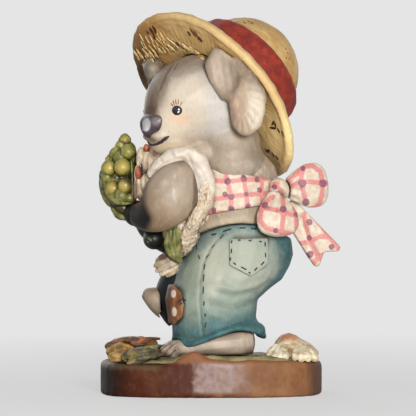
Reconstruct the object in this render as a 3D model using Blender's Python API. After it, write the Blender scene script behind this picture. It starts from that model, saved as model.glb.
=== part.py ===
# Koala figurine: a painted wood-carving of a koala in country dress, with a straw hat, on a slice of wood.
# The origin is the centre of the flat underside, +Z is up, and the koala walks towards -X.
# Its left side, the near side, is at -Y.
import math

import bmesh
import bpy
from mathutils import Matrix, Vector

MM = 0.001
CLEARANCE = 0.3 * MM

# The figure is drawn with the top of its base at this height, and set down on its underside last.
DRAWN_TOP = 9.6 * MM

BASE_LENGTH = 58.6 * MM
BASE_DEPTH = 39 * MM
BASE_HEIGHT = 8.6 * MM
BASE_SQUARENESS = 3.1
LIP_HEIGHT = 1.9 * MM
TURF_HEIGHT = 1.7 * MM

FOOT_LENGTH = 26 * MM
FOOT_WIDTH = 14 * MM
LEG_Y = -5.2 * MM
CUFF_HEIGHT = 15.2 * MM
WAIST_HEIGHT = 42.2 * MM
HIP_DEPTH = 26 * MM
POCKET_WIDTH = 10.4 * MM
POCKET_THICKNESS = 0.7 * MM

TORSO_DEPTH = 24 * MM
TOP_THICKNESS = 1.1 * MM
TOP_RISE = 4.1 * MM

ARM_LENGTH = 24 * MM
ARM_WIDTH = 14.6 * MM

HEAD_HEIGHT = 29 * MM
HEAD_CENTRE_Z = 75.9 * MM
HEAD_CENTRE_X = -1.4 * MM
HEAD_YAW = math.radians(35)
NECK_HEIGHT = HEAD_CENTRE_Z - HEAD_HEIGHT / 2 - 0.4 * MM
EAR_LENGTH = 24.4 * MM
FAR_EAR_TOP = 0.55
EAR_THICKNESS = 6 * MM

HAT_TILT = math.radians(51)
HAT_LIFT = 7 * MM
BRIM_RADIUS = 27.8 * MM
BRIM_THICKNESS = 2.2 * MM
CROWN_RADIUS = 15.9 * MM
CROWN_HEIGHT = 23.6 * MM
BAND_WIDTH = 10.6 * MM
BAND_THICKNESS = 1 * MM

BOW_LOOP_LENGTH = 12 * MM
BOW_TAIL_LENGTH = 18 * MM
BUD_RADIUS = 2 * MM
PETAL_LENGTH = 5.7 * MM
DOWEL_RADIUS = 1.5 * MM

UP = Vector((0, 0, 1))

# The clean, closed forms that each piece was made of, which cut its neighbours.
FORMS = {}

for old in list(bpy.data.objects):
    bpy.data.objects.remove(old)


def paint(name, colour, roughness=0.6):
    material = bpy.data.materials.new(name)
    material.use_nodes = True
    shader = material.node_tree.nodes["Principled BSDF"]
    shader.inputs["Base Color"].default_value = (*colour, 1)
    shader.inputs["Roughness"].default_value = roughness
    return material


STAINED_WOOD = paint("stained_wood", (0.2, 0.075, 0.03), 0.5)
BARE_WOOD = paint("bare_wood", (0.55, 0.35, 0.18), 0.7)
OLIVE_PAINT = paint("olive_paint", (0.2, 0.18, 0.06))
GREY_FUR = paint("grey_fur_paint", (0.36, 0.3, 0.25))
CREAM_FUR = paint("cream_fur_paint", (0.72, 0.6, 0.42))
DENIM = paint("denim_paint", (0.14, 0.25, 0.25))
PATCH = paint("patch_paint", (0.42, 0.17, 0.07))
GINGHAM = paint("gingham_paint", (0.75, 0.45, 0.4))
CREAM_CLOTH = paint("cream_cloth_paint", (0.7, 0.58, 0.42))
STRAW = paint("straw_paint", (0.55, 0.34, 0.12), 0.45)
RED_BAND = paint("red_band_paint", (0.32, 0.04, 0.02), 0.5)
DARK_NOSE = paint("dark_nose_paint", (0.06, 0.035, 0.045), 0.35)
BUD_GREEN = paint("bud_green_paint", (0.28, 0.3, 0.05), 0.4)
LEAF_GREEN = paint("leaf_green_paint", (0.15, 0.22, 0.05), 0.5)
PETAL_WHITE = paint("petal_white_paint", (0.7, 0.64, 0.5), 0.5)
FLOWER_ORANGE = paint("flower_orange_paint", (0.6, 0.16, 0.05), 0.5)
LEAF_YELLOW = paint("leaf_yellow_paint", (0.5, 0.33, 0.08), 0.5)


def new_object(name, bm, material):
    bmesh.ops.recalc_face_normals(bm, faces=bm.faces)
    if bm.calc_volume(signed=True) < 0:
        bmesh.ops.reverse_faces(bm, faces=bm.faces)
    mesh = bpy.data.meshes.new(name)
    bm.to_mesh(mesh)
    bm.free()
    mesh.materials.append(material)
    mesh.shade_smooth()
    obj = bpy.data.objects.new(name, mesh)
    bpy.context.collection.objects.link(obj)
    FORMS[obj.name] = [mesh.copy()]
    return obj


def move_to(obj, frame):
    for mesh in [obj.data] + FORMS[obj.name]:
        mesh.transform(frame)


def smooth_rows(rows, steps):
    # Reads a smooth curve through the rows, with `steps` new rows for each old one.
    out = []
    last = len(rows) - 1
    for i in range(last):
        before = rows[max(i - 1, 0)]
        after = rows[min(i + 2, last)]
        for k in range(steps):
            t = k / steps
            row = []
            for p0, p1, p2, p3 in zip(before, rows[i], rows[i + 1], after):
                curve = 2 * p1 + (p2 - p0) * t
                curve += (2 * p0 - 5 * p1 + 4 * p2 - p3) * t**2
                curve += (3 * p1 - p0 - 3 * p2 + p3) * t**3
                row.append(curve / 2)
            out.append(row)
    out.append(list(rows[last]))
    return out


def skin_rings(name, rings, material):
    # Joins rings of points into one closed body with a fan at each end.
    bm = bmesh.new()
    loops = [[bm.verts.new(p) for p in ring] for ring in rings]
    for low, high in zip(loops, loops[1:]):
        for i in range(len(low)):
            j = (i + 1) % len(low)
            bm.faces.new((low[i], low[j], high[j], high[i]))
    for loop in (loops[0], loops[-1]):
        tip = bm.verts.new(sum((v.co for v in loop), Vector()) / len(loop))
        for i in range(len(loop)):
            bm.faces.new((loop[i], loop[(i + 1) % len(loop)], tip))
    return new_object(name, bm, material)


def stack(name, rows, material, sides, steps=1):
    # A body of level rings. Each row, in millimetres, is x, y, z, half length, half depth,
    # slope of the ring along X, how much higher its two sides are than its ends, and how much
    # more of that rise lies towards +X.
    rings = []
    for x, y, z, half_x, half_y, slope, saddle, skew in smooth_rows(rows, steps):
        ring = []
        for i in range(sides):
            turn = 2 * math.pi * i / sides
            along = half_x * math.cos(turn)
            rise = slope * along + (saddle + skew * math.cos(turn)) * math.sin(turn) ** 2
            ring.append(Vector((x + along, y + half_y * math.sin(turn), z + rise)) * MM)
        rings.append(ring)
    return skin_rings(name, rings, material)


def sweep(name, rows, material, sides=14, steps=2, across=Vector((0, 1, 0)), frame=None):
    # A body along a path. Each row, in millimetres, is x, y, z, half height and half width,
    # and the width lies along `across`. A frame places the rows in the world.
    path = smooth_rows(rows, steps)
    centres = [Vector(row[:3]) for row in path]
    rings = []
    for i, row in enumerate(path):
        tangent = (centres[min(i + 1, len(path) - 1)] - centres[max(i - 1, 0)]).normalized()
        side = (across - tangent * across.dot(tangent)).normalized()
        lift = tangent.cross(side)
        ring = []
        for k in range(sides):
            turn = 2 * math.pi * k / sides
            point = centres[i] + lift * row[3] * math.cos(turn) + side * row[4] * math.sin(turn)
            ring.append(point * MM)
        rings.append(ring)
    body = skin_rings(name, rings, material)
    if frame:
        move_to(body, frame)
    return body


def egg(name, centre, radii, material, turn=None, sides=14, rows=9):
    bm = bmesh.new()
    bmesh.ops.create_uvsphere(bm, u_segments=sides, v_segments=rows, radius=1)
    frame = Matrix.Translation(Vector(centre) * MM)
    if turn:
        frame = frame @ turn.to_4x4()
    bm.transform(frame @ Matrix.Diagonal((*(Vector(radii) * MM), 1)))
    return new_object(name, bm, material)


def axes(forward, up):
    # A turn whose X axis is `forward` and whose Z axis is as near to `up` as it can be.
    x = Vector(forward).normalized()
    y = Vector(up).cross(x).normalized()
    z = x.cross(y)
    return Matrix((x, y, z)).transposed()


def bake(obj):
    graph = bpy.context.evaluated_depsgraph_get()
    mesh = bpy.data.meshes.new_from_object(obj.evaluated_get(graph))
    obj.modifiers.clear()
    obj.data = mesh


def keep_largest(obj):
    # Drops the loose crumbs that a cut can leave.
    bm = bmesh.new()
    bm.from_mesh(obj.data)
    left = set(bm.verts)
    islands = []
    while left:
        island = [left.pop()]
        for vert in island:
            for edge in vert.link_edges:
                other = edge.other_vert(vert)
                if other in left:
                    left.remove(other)
                    island.append(other)
        islands.append(island)
    islands.sort(key=len)
    crumbs = [v for island in islands[:-1] for v in island]
    bmesh.ops.delete(bm, geom=crumbs, context="VERTS")
    bm.to_mesh(obj.data)
    bm.free()


def combine(obj, other, operation):
    modifier = obj.modifiers.new(operation.lower(), "BOOLEAN")
    modifier.operation = operation
    modifier.solver = "EXACT"
    modifier.object = other
    bake(obj)
    bpy.data.objects.remove(other)


def grown(mesh, by, name="cutter"):
    # A copy of a clean form whose surface stands `by` outside it.
    copy = bpy.data.objects.new(name, mesh.copy())
    bpy.context.collection.objects.link(copy)
    bm = bmesh.new()
    bm.from_mesh(copy.data)
    bm.normal_update()
    moves = [v.normal * by * min(v.calc_shell_factor(), 1.6) for v in bm.verts]
    for vert, move in zip(bm.verts, moves):
        vert.co += move
    bm.to_mesh(copy.data)
    bm.free()
    return copy


def seat(obj, *neighbours):
    # Cuts a piece back from its neighbours, with the clearance between them.
    for neighbour in neighbours:
        for form in FORMS[neighbour.name]:
            combine(obj, grown(form, CLEARANCE), "DIFFERENCE")
    keep_largest(obj)


def join(obj, *others):
    for other in others:
        FORMS[obj.name] += FORMS.pop(other.name)
        combine(obj, other, "UNION")


def onlay(name, outline, carrier, thickness, material):
    # A thin piece lying on its carrier wherever the outline's prism meets it.
    form = FORMS[carrier.name][0]
    piece = grown(form, CLEARANCE + thickness, name)
    combine(piece, outline, "INTERSECT")
    combine(piece, grown(form, CLEARANCE), "DIFFERENCE")
    keep_largest(piece)
    piece.data.materials.clear()
    piece.data.materials.append(material)
    FORMS[piece.name] = [piece.data.copy()]
    return piece


def prism(points, direction, depth, middle):
    # An outline, in millimetres of X and Z about `middle`, drawn out to `depth` along Y.
    bm = bmesh.new()
    verts = [bm.verts.new((Vector((x, 0, z)) + Vector(middle)) * MM) for x, z in points]
    face = bm.faces.new(verts)
    moved = bmesh.ops.extrude_face_region(bm, geom=[face])["geom"]
    for item in moved:
        if isinstance(item, bmesh.types.BMVert):
            item.co += Vector(direction) * depth
    return new_object("outline", bm, BARE_WOOD)


def peg(name, low, high, radius=DOWEL_RADIUS):
    bm = bmesh.new()
    bmesh.ops.create_cone(
        bm, cap_ends=True, segments=16, radius1=radius, radius2=radius, depth=(high - low).length
    )
    turn = (high - low).to_track_quat("Z", "Y").to_matrix().to_4x4()
    bm.transform(Matrix.Translation((low + high) / 2) @ turn)
    return new_object(name, bm, BARE_WOOD)


# Base and ground

def base_outline(scale, height, lip=0.0, points=44):
    ring = []
    for i in range(points):
        turn = 2 * math.pi * i / points
        turn -= 0.18 * math.sin(4 * turn)
        c = math.cos(turn)
        s = math.sin(turn)
        power = 2 / BASE_SQUARENESS
        wobble = 1 + 0.012 * math.sin(3 * turn + 0.7) + 0.008 * math.sin(7 * turn)
        x = BASE_LENGTH / 2 * math.copysign(abs(c) ** power, c) * wobble * scale
        y = BASE_DEPTH / 2 * math.copysign(abs(s) ** power, s) * wobble * scale
        bump = lip * math.exp(-(((x / MM + 4.6) / 3.6) ** 2)) if y < 0 else 0
        ring.append(Vector((x, y, height + bump)))
    return ring


def make_base():
    h = DRAWN_TOP
    low = DRAWN_TOP - BASE_HEIGHT
    rings = [
        base_outline(0.992, low),
        base_outline(1, low + 0.4 * MM),
        base_outline(1, h - 1.3 * MM, LIP_HEIGHT * 0.7),
        base_outline(0.985, h - 0.4 * MM, LIP_HEIGHT),
        base_outline(0.94, h, LIP_HEIGHT),
        base_outline(0.86, h - 0.3 * MM),
    ]
    return skin_rings("base_slab", rings, STAINED_WOOD)


def make_turf(base):
    h = DRAWN_TOP
    rings = [
        base_outline(0.86, h - 1.5 * MM),
        base_outline(0.9, h + 0.3 * MM),
        base_outline(0.85, h + TURF_HEIGHT * 0.55),
        base_outline(0.5, h + TURF_HEIGHT),
    ]
    turf = skin_rings("ground_turf", rings, OLIVE_PAINT)
    seat(turf, base)
    return turf


# Legs and trousers

def make_near_foot(turf):
    length = FOOT_LENGTH / MM / 26
    width = FOOT_WIDTH / MM / 14
    floor = (DRAWN_TOP + TURF_HEIGHT) / MM
    y = LEG_Y / MM - 1
    rows = [
        (12.4 * length, y, floor + 3.4, 1.2, 1.5 * width),
        (11.5 * length, y, floor + 3.4, 3.2, 4.4 * width),
        (8.5 * length, y, floor + 3.6, 4.4, 6.4 * width),
        (3 * length, y, floor + 3.2, 4.2, 7 * width),
        (-4 * length, y, floor + 2.4, 3.4, 7 * width),
        (-9 * length, y, floor + 1.6, 2.6, 6.4 * width),
        (-11.8 * length, y, floor + 1.2, 1.9, 4.8 * width),
        (-12.6 * length, y, floor + 1.0, 0.8, 2 * width),
    ]
    foot = sweep("near_foot", rows, GREY_FUR, sides=14, steps=1)
    for k in range(4):
        place = (-10.9 * length - 0.6 * math.sin(math.pi * k / 3), y + (k - 1.5) * 3.1 * width, floor + 1.1)
        toe = egg("toe", place, (2.9 * length, 1.45 * width, 1.9), GREY_FUR, sides=8, rows=6)
        join(foot, toe)
    seat(foot, turf)
    return foot


def make_trousers(foot, belly):
    cuff = CUFF_HEIGHT / MM
    waist = WAIST_HEIGHT / MM
    span = waist - cuff
    leg = LEG_Y / MM
    hip = HIP_DEPTH / MM / 2
    rows = [
        (2, leg, cuff + 0.5, 11, 8.4, 0.08, 2, 4),
        (2, leg, cuff, 12.5, 9.8, 0.08, 2, 4),
        (1.8, leg, cuff + 0.08 * span, 11.8, 9.4, 0.06, 1, 3),
        (0.9, leg, cuff + 0.22 * span, 11.1, 9, 0, 0, 0),
        (0.8, leg * 0.9, cuff + 0.4 * span, 11.7, 9.4, 0, 0, 0),
        (2.6, leg * 0.7, cuff + 0.5 * span, 13, hip * 0.86, 0, 0, 0),
        (4.9, leg * 0.4, cuff + 0.59 * span, 14.1, hip * 0.95, 0, 0, 0),
        (6.1, leg * 0.15, cuff + 0.71 * span, 14.9, hip, 0, 0, 0),
        (7.4, 0, cuff + 0.83 * span, 14.5, hip, 0, 0.5, 0),
        (8.2, 0, cuff + 0.95 * span, 13.4, hip * 0.97, 0, 2.6, 0),
        (8.3, 0, waist, 13, hip * 0.95, 0, 3.6, 0),
        (8.3, 0, waist + 0.2, 11.8, hip * 0.87, 0, 3.4, 0),
    ]
    trousers = stack("trousers", rows, DENIM, sides=24)
    seat(trousers, foot, belly)
    return trousers


def make_far_leg(belly, trousers):
    leg = -LEG_Y / MM
    rows = [
        (6, leg, 36, 7, 6.4),
        (0, leg + 0.6, 34.5, 7.6, 6.8),
        (-6, leg + 1, 31.5, 6.6, 6.4),
        (-9.6, leg + 1.2, 27.2, 5.2, 5.8),
        (-9.2, leg + 1.2, 23.2, 4.8, 5.4),
        (-7.8, leg + 1.2, 21.4, 4.6, 5.4),
    ]
    far_leg = sweep("far_trouser_leg", rows, DENIM, sides=16)
    seat(far_leg, belly, trousers)
    return far_leg


def make_far_foot(far_leg):
    leg = -LEG_Y / MM
    rows = [
        (-6, leg + 1.2, 22.4, 2.8, 3.4),
        (-9, leg + 1.2, 22.8, 4.4, 4.4),
        (-13, leg + 1, 24.8, 3.9, 4.3),
        (-16, leg + 0.8, 26.4, 2.6, 3.6),
        (-18, leg + 0.8, 27.2, 1.2, 2),
    ]
    foot = sweep("far_foot", rows, GREY_FUR, sides=14)
    seat(foot, far_leg)
    return foot


def make_pocket(name, trousers, side):
    half = POCKET_WIDTH / MM / 2
    outline = [(-half, 4.9), (half * 0.96, 5), (half, -1.6), (0.6, -5), (-half, -2)]
    block = prism(outline, (0, side, 0), 30 * MM, (10.1, 0, 37.2))
    return onlay(name, block, trousers, POCKET_THICKNESS, DENIM)


def make_knee_patch(trousers):
    outline = [(-4, 4.8), (1, 4.7), (2.8, 2.6), (3.5, -0.4), (3.1, -3.4), (1.2, -5.6), (-4, -5.8)]
    block = prism(outline, (0, -1, 0), 30 * MM, (-10.4, LEG_Y / MM + 3, 25.2))
    return onlay("knee_patch", block, trousers, POCKET_THICKNESS, PATCH)


# Body and top

def make_torso():
    half = TORSO_DEPTH / MM / 2
    low = WAIST_HEIGHT / MM - 4.2
    neck = NECK_HEIGHT / MM
    span = neck - low
    rows = [
        (8.4, 0, low, 9, half * 0.7, 0, 0, 0),
        (8, 0, low + 0.13 * span, 11.6, half * 0.92, 0, 0, 0),
        (6.4, 0, low + 0.35 * span, 12.8, half, 0, 0, 0),
        (5.4, 0, low + 0.565 * span, 13.4, half * 1.01, 0, 0, 0),
        (5, 0, low + 0.78 * span, 13.4, half * 0.97, 0, 0, 0),
        (5.4, 0, neck, 12, half * 0.88, 0, 0, 0),
        (4.6, 0, neck + 4, 9, half * 0.7, 0, 0, 0),
        (4, 0, neck + 6, 5, half * 0.4, 0, 0, 0),
    ]
    return stack("torso", rows, GREY_FUR, sides=20)


def make_bodice(torso):
    form = FORMS[torso.name][0]
    bodice = grown(form, CLEARANCE + TOP_THICKNESS, "bodice")
    bodice.data.materials.clear()
    bodice.data.materials.append(GINGHAM)
    bm = bmesh.new()
    bm.from_mesh(bodice.data)
    edges = (
        (Vector((0, 0, WAIST_HEIGHT + TOP_RISE)), Vector((0.2, 0, -1))),
        (Vector((5 * MM, 0, NECK_HEIGHT - 1.4 * MM)), Vector((0.18, 0, 1))),
    )
    for point, outward in edges:
        everything = bm.verts[:] + bm.edges[:] + bm.faces[:]
        cut = bmesh.ops.bisect_plane(
            bm, geom=everything, dist=1e-7, plane_co=point, plane_no=outward, clear_outer=True
        )["geom_cut"]
        rim = [item for item in cut if isinstance(item, bmesh.types.BMEdge)]
        bmesh.ops.holes_fill(bm, edges=rim, sides=0)
    bm.to_mesh(bodice.data)
    bm.free()
    FORMS[bodice.name] = [bodice.data.copy()]
    combine(bodice, grown(form, CLEARANCE), "DIFFERENCE")
    return bodice


def make_belly_fur(torso, bodice):
    # A round apron of fur that bulges over the waistband in front.
    reach = TORSO_DEPTH / MM / 2 - 0.6
    fur = egg("belly_fur", (-8, 0, WAIST_HEIGHT / MM + 3.8), (6.4, reach, 9.2), CREAM_FUR, sides=16)
    seat(fur, torso, bodice)
    return fur


def make_arm(name, side):
    # `side` is -1 for the near arm and 1 for the far one.
    reach = ARM_LENGTH / MM / 24
    wide = ARM_WIDTH / MM / 14.6
    rows = [
        (-3.2, side * 10.4, 57.4, 3.2 * wide, 2.6 * wide),
        (-4.8, side * 12.6, 56.8, 6.4 * wide, 4.6 * wide),
        (-8.2, side * 14.2, 54.6, 7.6 * wide, 5.6 * wide),
        (-11.4 * reach, side * 14.4, 51.4, 7 * wide, 5.6 * wide),
        (-14 * reach, side * 13, 48.8, 5.2 * wide, 4.8 * wide),
        (-16.6 * reach, side * 10, 48, 3.9 * wide, 3.9 * wide),
        (-18.4 * reach, side * 7.4, 48.2, 3.3 * wide, 3.3 * wide),
    ]
    return sweep(name, rows, GREY_FUR, sides=14)


def make_paw(name, side, arm):
    place = (-19.6 * ARM_LENGTH / MM / 24, side * 5.2, 48.6)
    paw = egg(name, place, (3.4, 4, 3.5), GREY_FUR)
    seat(paw, arm)
    return paw


def make_frill(name, side, *neighbours):
    rows = [
        (-15.4, side * 12.4, 58.4, 1.3, 1.3),
        (-13.2, side * 13.6, 60.6, 1.9, 1.8),
        (-9.8, side * 14, 63.4, 1.9, 2),
        (-6.2, side * 14, 64.2, 2, 2),
        (-2.8, side * 14, 62, 2, 2),
        (-0.8, side * 13.6, 57.6, 1.8, 2),
        (-1.2, side * 13.2, 53, 2, 2.2),
        (-3.4, side * 12.8, 49.2, 2.4, 2.6),
        (-5.8, side * 12, 47, 1.8, 1.8),
    ]
    frill = sweep(name, rows, CREAM_CLOTH, sides=8)
    seat(frill, *neighbours)
    return frill


# Head and hat

FACING = Vector((-math.cos(HEAD_YAW), -math.sin(HEAD_YAW), 0))
LEFT = Vector((math.sin(HEAD_YAW), -math.cos(HEAD_YAW), 0))
HEAD_CENTRE = Vector((HEAD_CENTRE_X, 0, HEAD_CENTRE_Z))


def head_frame():
    # X runs forward along the muzzle, Y to the koala's left, Z up.
    frame = Matrix((FACING, LEFT, UP)).transposed().to_4x4()
    return Matrix.Translation(HEAD_CENTRE) @ frame


def make_head():
    tall = HEAD_HEIGHT / MM / 29
    rows = [
        (-14.6, 0, 1, 2.5 * tall, 2.5 * tall),
        (-12.6, 0, 1, 7.4 * tall, 7.6 * tall),
        (-8, 0, 1, 12.4 * tall, 12.8 * tall),
        (-2, 0, 0.7, 14.6 * tall, 15.4 * tall),
        (4, 0, 0, 14.2 * tall, 14.6 * tall),
        (8, 0, -1.2, 12.4 * tall, 12.2 * tall),
        (11.2, 0, -3.2, 9.6 * tall, 9 * tall),
        (13.8, 0, -5, 7 * tall, 6.6 * tall),
        (15.8, 0, -6.2, 4.8 * tall, 4.6 * tall),
        (16.7, 0, -6.6, 2 * tall, 2 * tall),
    ]
    return sweep("head", rows, GREY_FUR, sides=18, frame=head_frame())


def make_nose(head):
    size = HEAD_HEIGHT / 29
    nose = egg("nose", (0, 0, 0), Vector((3.4, 4.5, 5.2)) * (size / MM), DARK_NOSE)
    lean = Matrix.Rotation(math.radians(-24), 4, "Y")
    move_to(nose, head_frame() @ Matrix.Translation(Vector((16.3, 0, -2.2)) * size) @ lean)
    seat(nose, head)
    return nose


def make_ear(name, side, out, forward, raised, tip, top, *neighbours):
    # The ear is a thick leaf of two lobes with a hollow in its face. `side` is 1 for the koala's
    # left, `tip` is how far the ear's top leans forward, and `top` is the share of its upper half
    # that the hat leaves free.
    outward = LEFT * side
    spread = math.radians(30)
    plane = outward * math.cos(spread) - FACING * math.sin(spread)
    face = FACING * math.cos(spread) + outward * math.sin(spread)
    lean = math.radians(23)
    long_axis = (plane * math.sin(lean) - UP * math.cos(lean) - face * tip).normalized()
    wide_axis = face.cross(long_axis).normalized()
    middle = HEAD_CENTRE + (outward * out + FACING * forward + UP * raised) * MM
    turn = Matrix((long_axis, wide_axis, long_axis.cross(wide_axis))).transposed().to_4x4()
    frame = Matrix.Translation(middle) @ turn
    half = EAR_LENGTH / MM / 2
    middle_row = 0.38
    thick = EAR_THICKNESS / MM / 2
    rows = [
        (-half * top, 0, 0, thick * 0.3, 1.4),
        (-half * (middle_row + 0.65 * (top - middle_row)), -0.6 * side, 0, thick * 0.75, 4.4),
        (-half * middle_row, -0.1 * side, 0, thick, 5.7),
        (-half * 0.1, 0.8 * side, 0, thick, 5.7),
        (half * 0.12, 2.6 * side, 0, thick, 4.6),
        (half * 0.36, 2.3 * side, 0, thick, 4.7),
        (half * 0.58, 1 * side, 0, thick * 0.9, 4.9),
        (half * 0.84, -0.4 * side, 0, thick * 0.75, 4),
        (half, -1.2 * side, 0, thick * 0.3, 1.2),
    ]
    ear = sweep(name, rows, GREY_FUR, sides=14, steps=1, frame=frame)
    place = (-half * 0.34 * top, 0.4 * side, thick * 1.15)
    hollow = egg("hollow", place, (6 * top, 4, thick * 0.85), GREY_FUR, sides=10, rows=7)
    move_to(hollow, frame)
    combine(ear, hollow, "DIFFERENCE")
    seat(ear, *neighbours)
    return ear


def hat_frame():
    # Z runs up through the crown, X forward across the brim, Y to the koala's left.
    axis = UP * math.cos(HAT_TILT) - FACING * math.sin(HAT_TILT)
    ahead = FACING * math.cos(HAT_TILT) + UP * math.sin(HAT_TILT)
    turn = Matrix((ahead, axis.cross(ahead), axis)).transposed().to_4x4()
    return Matrix.Translation(HEAD_CENTRE + axis * HAT_LIFT) @ turn


def make_brim(head):
    inner = 9.6 * MM
    half = BRIM_THICKNESS / 2
    segments = 33
    section = []
    for share, bulge in ((0, 0.9), (0.4, 0.9), (0.75, 1), (0.94, 1.15)):
        section.append((share, half * bulge))
    outline = [(s, h) for s, h in section] + [(1, 0)] + [(s, -h) for s, h in reversed(section)]
    bm = bmesh.new()
    loops = []
    for i in range(segments):
        turn = 2 * math.pi * i / segments
        radius = BRIM_RADIUS * (1 + 0.015 * math.sin(3 * turn + 1))
        sideways = math.sin(turn)
        ahead = math.cos(turn)
        curl = -1.4 * (1 - math.cos(2 * (turn - math.radians(50)))) + 0.3 * math.sin(5 * turn)
        loop = []
        for share, height in outline:
            reach = inner + (radius - inner) * share
            lift = height + curl * MM * share**2
            loop.append(bm.verts.new((reach * ahead, reach * sideways, lift)))
        loops.append(loop)
    for i in range(segments):
        one = loops[i]
        two = loops[(i + 1) % segments]
        for k in range(len(outline)):
            m = (k + 1) % len(outline)
            bm.faces.new((one[k], one[m], two[m], two[k]))
    bm.transform(hat_frame() @ Matrix.Translation((0, -2 * MM, 0)))
    brim = new_object("hat_brim", bm, STRAW)
    seat(brim, head)
    return brim


def turned(name, profile, material, sides=21):
    # A body of revolution on the hat's axis. The profile is (radius, height) in millimetres.
    rings = []
    for radius, height in profile:
        ring = []
        for i in range(sides):
            turn = 2 * math.pi * i / sides
            ring.append(Vector((radius * math.cos(turn), radius * math.sin(turn), height)) * MM)
        rings.append(ring)
    body = skin_rings(name, rings, material)
    move_to(body, hat_frame())
    return body


def make_crown(head, brim):
    radius = CROWN_RADIUS / MM
    height = CROWN_HEIGHT / MM
    profile = [(radius * 0.98, 0.2)]
    for share in (0.3, 0.5, 0.66, 0.8, 0.91, 0.98):
        profile.append((radius * (1 - share**2.8) ** 0.45, height * share))
    crown = turned("hat_crown", profile, STRAW)
    seat(crown, brim, head)
    return crown


def make_band(crown, brim):
    radius = (CROWN_RADIUS + CLEARANCE + BAND_THICKNESS) / MM
    width = BAND_WIDTH / MM
    low = BRIM_THICKNESS / 2 / MM
    profile = [
        (radius * 0.97, low),
        (radius, low + 0.6),
        (radius, low + width * 0.55),
        (radius * 0.985, low + width * 0.9),
        (radius * 0.95, low + width),
    ]
    band = turned("hat_band", profile, RED_BAND)
    seat(band, brim, crown)
    return band


# Bow

def make_bow_loop(name, place, along, facing, length, width, *neighbours):
    # A plump loop that widens from the knot to its round end.
    turn = axes(along, facing)
    frame = Matrix.Translation(Vector(place) * MM) @ turn.to_4x4()
    long = length / MM
    rows = [
        (0, 0, 0, 1.2, 1.8),
        (long * 0.2, 0, 0.1, 1.8, width * 0.3),
        (long * 0.5, 0, 0.4, 2.3, width * 0.47),
        (long * 0.8, 0, 0.2, 2.1, width * 0.47),
        (long * 0.95, 0, 0, 1.5, width * 0.32),
        (long, 0, 0, 0.6, width * 0.12),
    ]
    loop = sweep(name, rows, GINGHAM, sides=14, frame=frame)
    seat(loop, *neighbours)
    return loop


def make_bow_tail(name, place, along, facing, length, *neighbours):
    # A flat strip that widens to a swallow-tail end.
    turn = axes(along, facing)
    long = length / MM
    outline = [
        (0, -2.6), (long * 0.5, -3.5), (long * 0.98, -4.4), (long * 1.02, -3.4), (long * 0.9, 0.1),
        (long * 1.04, 3.4), (long, 4.5), (long * 0.5, 3.5), (0, 2.6),
    ]
    bm = bmesh.new()
    face = bm.faces.new([bm.verts.new((x * MM, y * MM, -1 * MM)) for x, y in outline])
    moved = bmesh.ops.extrude_face_region(bm, geom=[face])["geom"]
    for item in moved:
        if isinstance(item, bmesh.types.BMVert):
            item.co.z += 2 * MM
    bm.transform(Matrix.Translation(Vector(place) * MM) @ turn.to_4x4())
    tail = new_object(name, bm, GINGHAM)
    bevel = tail.modifiers.new("soft edge", "BEVEL")
    bevel.width = 0.6 * MM
    bevel.segments = 2
    bake(tail)
    FORMS[tail.name] = [tail.data.copy()]
    seat(tail, *neighbours)
    return tail


# Flowers

def wrap(obj):
    # Takes the hull of a knobbly piece as the form that cuts its neighbours.
    hull = bmesh.new()
    for vert in obj.data.vertices:
        hull.verts.new(vert.co)
    bmesh.ops.convex_hull(hull, input=hull.verts)
    bmesh.ops.delete(hull, geom=[v for v in hull.verts if not v.link_faces], context="VERTS")
    bmesh.ops.recalc_face_normals(hull, faces=hull.faces)
    form = bpy.data.meshes.new("hull")
    hull.to_mesh(form)
    hull.free()
    FORMS[obj.name] = [form]


def make_buds(*neighbours):
    # A core with round buds that stand out of it, the same on both sides.
    cluster = egg("bud_cluster", (-21.6, 0, 57), (5.6, 6.6, 10), BUD_GREEN, sides=12, rows=8)
    r = BUD_RADIUS / MM
    for x, y, z, size in (
        (-22.4, 1.4, 67.8, 0.9), (-24.5, 3, 64.3, 1), (-21, 4.6, 64.6, 1), (-18.4, 2.2, 65.4, 1),
        (-26, 2.6, 60.4, 1.15), (-22.8, 6, 60.6, 1.15), (-18.4, 6.4, 61.4, 1.1), (-26.2, 3.2, 55.2, 1.2),
    ):
        for side in (-1, 1):
            join(cluster, egg("bud", (x, side * y, z), (r * size,) * 3, BUD_GREEN, sides=8, rows=5))
    wrap(cluster)
    seat(cluster, *neighbours)
    return cluster


def make_bud_leaf(name, turn_degrees, z, tall, wide, *neighbours):
    # A cupped leaf that hugs the bunch from below.
    turn = math.radians(turn_degrees)
    out = Vector((math.cos(turn), math.sin(turn), 0))
    middle = Vector((-20.6, 0.5, z)) + out * 6.4
    along = UP * 0.93 + out * 0.36
    leaf = egg(name, middle, (tall, wide, 2), LEAF_GREEN, turn=axes(along, out), sides=12, rows=8)
    seat(leaf, *neighbours)
    return leaf


def make_daisy(name, place, facing, petals, *neighbours):
    length = PETAL_LENGTH / MM
    turn = axes(facing, (0.1, 0.2, 1))
    frame = Matrix.Translation(Vector(place) * MM) @ turn.to_4x4()
    rings = []
    for share, height in ((0.35, -1.3), (0.7, -0.9), (1, 0.1), (0.96, 0.8), (0.6, 0.5), (0.25, 0.4)):
        ring = []
        for i in range(petals * 5):
            angle = 2 * math.pi * i / (petals * 5)
            reach = length * share * (1 - 0.4 * share * math.cos(petals * angle / 2) ** 6)
            ring.append(Vector((height, reach * math.sin(angle), reach * math.cos(angle))) * MM)
        rings.append(ring)
    daisy = skin_rings(name, rings, PETAL_WHITE)
    move_to(daisy, frame)
    centre = egg(name + "_centre", (1.7, 0, 0), (0.9, 1.8, 1.8), FLOWER_ORANGE, sides=10, rows=6)
    move_to(centre, frame)
    seat(daisy, *neighbours)
    seat(centre, daisy, *neighbours)
    return daisy


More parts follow.
